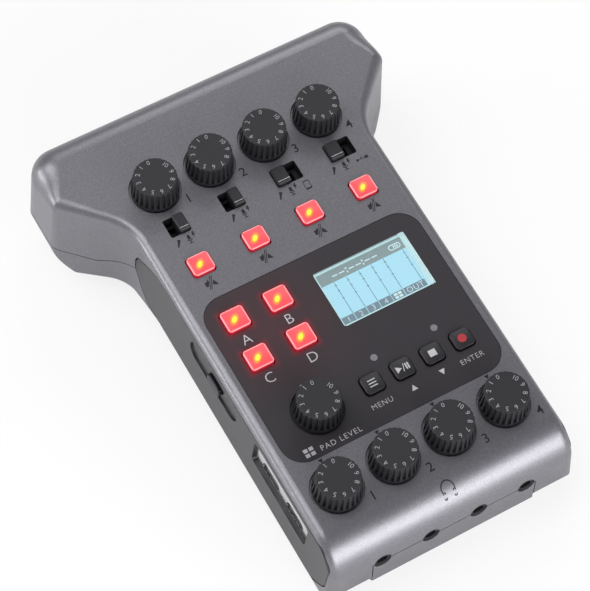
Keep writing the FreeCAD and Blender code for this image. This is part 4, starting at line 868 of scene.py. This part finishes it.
class RECORDER_OT_panel_prints(bpy.types.Operator):
    """Prints the letters, words and symbols on the control panel and its keys"""
    bl_idname = "recorder.panel_prints"
    bl_label = "Panel Prints"

    def execute(self, context):
        face = PANEL_FACE + sizes().ink / 2
        parts = []
        for name, pad in zip(PADS, PAD_BUTTONS):
            where = spot(pad + "_press")
            parts.append(lettering(name.upper(), 3.2, at(where.x - 0.05, where.y - 6.75, face), -0.05))
        for text, x, y, weight, spacing in (
            ("MENU", -2.95, -40.85, -0.035, 1.12),
            ("ENTER", 26.65, -40.75, -0.035, 1.12),
            ("PAD LEVEL", -18.45, -44.6, -0.01, 1.2),
        ):
            parts.append(lettering(text, 1.65, at(x, y, face), weight, spacing))
        squares = [bar(1.3, 1.1, sx * 0.87, sy * 0.77) for sx in (-1, 1) for sy in (-1, 1)]
        for x, y, loops in (
            (7.3, -40.9, [[(-0.95, -0.8), (0.95, -0.8), (0.0, 0.95)]]),
            (17.0, -40.5, [[(-0.95, 0.8), (0.0, -0.95), (0.95, 0.8)]]),
            (-28.35, -44.1, squares),
            (-20.2, -25.3, [bar(1.3, 0.22)]),
        ):
            parts.append(figures_at(at(x, y, face), *loops))
        settle(joined(parts), "panel_prints", "housing", ADDED["light"])
        top = sizes().key_rise + sizes().ink
        for name, shapes, finish in (
            ("menu_key", [bar(2.4, 0.32, 0.0, k * 0.95) for k in (-1, 0, 1)], "light"),
            ("play_key", [[(-2.0, -1.05), (-0.25, 0.0), (-2.0, 1.05)], bar(0.22, 2.5, 0.3, 0.0, -18),
                          bar(0.42, 1.9, 1.15, 0.0), bar(0.42, 1.9, 1.85, 0.0)], "light"),
            ("stop_key", [bar(2.3, 2.1)], "light"),
            ("record_key", [oval(1.35, 1.3)], "red"),
        ):
            where = spot(name + "_press")
            marks = figures_at(at(where.x, where.y, top), *shapes)
            settle(marks, name + "_mark", name, ADDED[finish])
        return {"FINISHED"}


def film(loops, level):
    """A flat shape of the screen's picture, a number of films over the rim's level."""
    return figure(loops, at(0, 0, level * FILM - sizes().screen_depth), FILM)


class RECORDER_OT_screen_picture(bpy.types.Operator):
    """Lays out the lit screen: header, level lines and channel labels"""
    bl_idname = "recorder.screen_picture"
    bl_label = "Screen Picture"

    def execute(self, context):
        back = moulded("black display frame", "#10242b", 0.4)
        gaps_x = [x + 2.0 for x in LABELS_X] + [26.9]
        lines = [bar(0.15, 11.0, x, -7.15) for x in gaps_x]
        lines += [bar(0.75, 0.15, x, y) for x in gaps_x for y in (-2.8, -4.6, -7.2)]
        cells = [bar(3.9, 2.3, x, LABELS_Y) for x in LABELS_X] + [bar(7.0, 2.3, OUT_X, LABELS_Y)]
        for name, shapes, level, material in (
            ("frame", [bar(30.6, 18.9, 14.8, -6.0)], -1, back),
            ("rim", [rounded_box(30.4, 18.7, 0.9, 14.85, -6.05)], 0, ADDED["rim"]),
            ("light", [bar(28.1, 17.4, 14.1, -6.3)], 1, ADDED["screen"]),
            ("header", [bar(28.1, 3.9, 14.1, 0.45)], 2, ADDED["segments"]),
            ("cells", cells, 2, ADDED["cells"]),
            ("lines", lines, 2, ADDED["lines"]),
        ):
            piece = joined([film([shape], level) for shape in shapes])
            settle(piece, "screen_" + name, "housing", material, place=at(*PICTURE_SHIFT))
        piece = joined(header_figures(3) + label_figures(3))
        settle(piece, "screen_figures", "housing", ADDED["digits"], place=at(*PICTURE_SHIFT))
        return {"FINISHED"}


def header_figures(level):
    """The header's digits as plain bars, two pairs of dots between them, and a battery sign."""
    shapes = [bar(1.75, 0.36, x, 0.2) for x in (5.3, 7.6, 10.85, 13.1, 16.15, 18.45)]
    shapes += [bar(0.4, 0.6, x, 0.2 + y) for x in (9.2, 14.6) for y in (-0.6, 0.6)]
    battery = [rounded_box(3.9, 1.8, 0.85, 25.3, 0.3), rounded_box(3.3, 1.2, 0.55, 25.3, 0.3)]
    charge = [bar(0.35, 0.9, x, 0.3) for x in (25.0, 25.6, 26.2)]
    return [film([shape], level) for shape in shapes + charge] + [film(battery, level)]


def label_figures(level):
    """The labels of the level lines: four channel numbers, a sign of four dots and OUT."""
    high = level * FILM - sizes().screen_depth
    labels = [lettering(text, 1.7, at(x, LABELS_Y, high), -0.025) for text, x in zip("1234", LABELS_X)]
    labels.append(lettering("OUT", 1.75, at(OUT_X, LABELS_Y, high), -0.025, 1.15))
    for sx in (-1, 1):
        for sy in (-1, 1):
            labels.append(film([bar(1.1, 0.75, LABELS_X[4] + sx * 0.7, LABELS_Y + sy * 0.5)], level))
    return labels


class RECORDER_OT_slide_marks(bpy.types.Operator):
    """Draws the pale index line on each source slider and lines its window with black"""
    bl_idname = "recorder.slide_marks"
    bl_label = "Slider Marks"

    def execute(self, context):
        # A black ring lines each window's walls, so that the window looks dark inside.
        liner = moulded("black moulded nylon, window liners", "#141316", 0.5)
        for k in CHANNELS:
            name = "source_slider_%d" % k
            low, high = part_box(name)
            middle = OFF_PANEL @ ((low + high) / 2)
            width = (high.x - low.x) / MM
            line = figure([bar(width - 0.5, 0.16)],
                          at(middle.x, SLIDER_ROW - INDEX_SHIFT, CAP_TOP + sizes().ink / 2))
            settle(line, name + "_mark", name, ADDED["light"])
            kind = slider_kind(k)
            centre = spot(name + "_slide").x + kind["shift"]
            wall = [rounded_box(kind["window"] - gap, WINDOW_DEPTH - step, radius, centre, SLIDER_ROW)
                    for gap, step, radius in ((0.04, 0.0, 0.55), (0.24, 0.2, 0.45))]
            ring = figure(wall, at(0, 0, -1.9), 3.5)
            settle(ring, "slide_window_%d_liner" % k, "housing", liner)
        return {"FINISHED"}


class RECORDER_OT_contacts(bpy.types.Operator):
    """Fits the gold contact tubes in the microphone sockets"""
    bl_idname = "recorder.contacts"
    bl_label = "Socket Contacts"

    def execute(self, context):
        for k in CHANNELS:
            centre = SOCKET_LEFT + SOCKET_PITCH * (k - 1)
            tubes = []
            for turn in (90, 210, 330):
                x = centre + CONTACT_CIRCLE * math.cos(math.radians(turn))
                z = SOCKET_LEVEL - CONTACT_CIRCLE * math.sin(math.radians(turn))
                lying = Matrix.Rotation(math.radians(-90), 4, "X")
                tubes.append(tube(1.2, 0.85, 6.0, at(x, CONTACT_Y, z) @ lying))
            settle(joined(tubes), "xlr_contacts_%d" % k, "housing", ADDED["gold"])
        return {"FINISHED"}


class RECORDER_OT_stage(bpy.types.Operator):
    """Sets the pale floor, the soft studio light and the camera"""
    bl_idname = "recorder.stage"
    bl_label = "Stage"

    def execute(self, context):
        clear_selection()
        bpy.ops.mesh.primitive_plane_add(size=FLOOR_WIDTH)
        floor = bpy.context.object
        floor.name = "floor"
        floor.data.materials.append(pale_floor())
        light_world(context.scene)
        for lamp in SOFTBOXES:
            softbox(*lamp)
        add_camera(context.scene)
        return {"FINISHED"}


def pale_floor():
    """Matt white paper sweep, seen by the camera and by gloss as almost pure white."""
    material, tree, shader = new_material("matt white paper sweep", Roughness=0.9)
    patches = spread(tree, grain(tree, 1.2), 0.3, 0.7)
    tone = blended(tree, patches, linear("#f3f3f3"), linear("#f8f8f8"))
    tree.links.new(tone, shader.inputs["Base Color"])
    rays = add_node(tree, "ShaderNodeLightPath").outputs
    direct = number_math(tree, "MAXIMUM", rays["Is Camera Ray"], rays["Is Transmission Ray"])
    plain = number_math(tree, "MULTIPLY", direct, 0.8)
    # Gloss sees less of the added white, so that the sides of the body stay darker than its top.
    gloss = number_math(tree, "MULTIPLY", rays["Is Glossy Ray"], 0.15)
    white = add_node(tree, "ShaderNodeEmission", {"Color": linear("#fefefe"), "Strength": 1.0})
    both = add_node(tree, "ShaderNodeMixShader", {
        0: number_math(tree, "MAXIMUM", plain, gloss), 1: shader.outputs["BSDF"],
        2: white.outputs["Emission"]})
    tree.links.new(both.outputs["Shader"], tree.nodes["Material Output"].inputs["Surface"])
    return material


def light_world(scene):
    """A soft surround: pale at the horizon, greyer overhead, white where the camera sees it."""
    world = bpy.data.worlds.new("soft surround")
    scene.world = world
    world.use_nodes = True
    tree = world.node_tree
    where = add_node(tree, "ShaderNodeTexCoord")
    parts = add_node(tree, "ShaderNodeSeparateXYZ", {"Vector": where.outputs["Generated"]})
    overhead = spread(tree, parts.outputs["Z"], 0.1, 0.95)
    tone = blended(tree, overhead, linear("#b4b4b6"), linear("#8b8b8f"))
    seen = add_node(tree, "ShaderNodeLightPath")
    shown = blended(tree, seen.outputs["Is Camera Ray"], tone, linear("#ffffff"))
    back = tree.nodes["Background"]
    tree.links.new(shown, back.inputs["Color"])
    back.inputs["Strength"].default_value = 1.0


def softbox(name, place, aim, width, height, power):
    """A flat lamp at a place, turned to the point that it lights."""
    clear_selection()
    bpy.ops.object.light_add(type="AREA", location=place)
    lamp = bpy.context.object
    lamp.name = name
    lamp.data.shape = "RECTANGLE"
    lamp.data.size = width
    lamp.data.size_y = height
    lamp.data.energy = power
    lamp.rotation_euler = (Vector(aim) - Vector(place)).to_track_quat("-Z", "Y").to_euler()


def add_camera(scene):
    """The camera at the photograph's angle."""
    look = scene.recorder_view
    a, e = math.radians(look.azimuth), math.radians(look.elevation)
    back = Vector((math.sin(a) * math.cos(e), -math.cos(a) * math.cos(e), math.sin(e)))
    clear_selection()
    bpy.ops.object.camera_add(location=Vector(look.target) + back * look.distance)
    camera = bpy.context.object
    camera.name = "camera"
    level = (-back).to_track_quat("-Z", "Y")
    camera.rotation_euler = (level @ Quaternion((0.0, 0.0, 1.0), math.radians(look.roll))).to_euler()
    camera.data.lens = look.lens
    camera.data.sensor_width = 36.0
    camera.data.clip_start = 0.05
    camera.data.clip_end = 20.0
    scene.camera = camera


class RECORDER_PT_looks(bpy.types.Panel):
    """Lists the recorder's pieces, sizes and colours"""
    bl_idname = "RECORDER_PT_looks"
    bl_label = "Recorder"
    bl_space_type = "VIEW_3D"
    bl_region_type = "UI"
    bl_category = "Recorder"

    def draw(self, context):
        scene = context.scene
        for step in STEPS:
            self.layout.operator("recorder." + step)
        for group in (scene.recorder_sizes, scene.recorder_colours, scene.recorder_view):
            for name in group.__annotations__:
                self.layout.prop(group, name)


STEPS = ("stage", "finishes", "keytops", "dial_figures", "shell_prints", "panel_prints", "screen_picture",
         "slide_marks", "contacts")
CLASSES = (
    RecorderSizes,
    RecorderColours,
    RecorderView,
    RECORDER_OT_finishes,
    RECORDER_OT_keytops,
    RECORDER_OT_dial_figures,
    RECORDER_OT_shell_prints,
    RECORDER_OT_panel_prints,
    RECORDER_OT_screen_picture,
    RECORDER_OT_slide_marks,
    RECORDER_OT_contacts,
    RECORDER_OT_stage,
    RECORDER_PT_looks,
)


def register():
    """Registers the classes and their settings."""
    for kind in CLASSES:
        bpy.utils.register_class(kind)
    bpy.types.Scene.recorder_sizes = PointerProperty(type=RecorderSizes)
    bpy.types.Scene.recorder_colours = PointerProperty(type=RecorderColours)
    bpy.types.Scene.recorder_view = PointerProperty(type=RecorderView)


def unregister():
    """Takes the classes and their settings out again."""
    del bpy.types.Scene.recorder_view
    del bpy.types.Scene.recorder_colours
    del bpy.types.Scene.recorder_sizes
    for kind in reversed(CLASSES):
        bpy.utils.unregister_class(kind)


def main():
    """Builds the looks step by step."""
    register()
    for step in STEPS:
        getattr(bpy.ops.recorder, step)()
    clear_selection()
    bpy.context.scene.view_settings.view_transform = "Standard"
    bpy.context.view_layer.update()


if __name__ == "__main__":
    main()
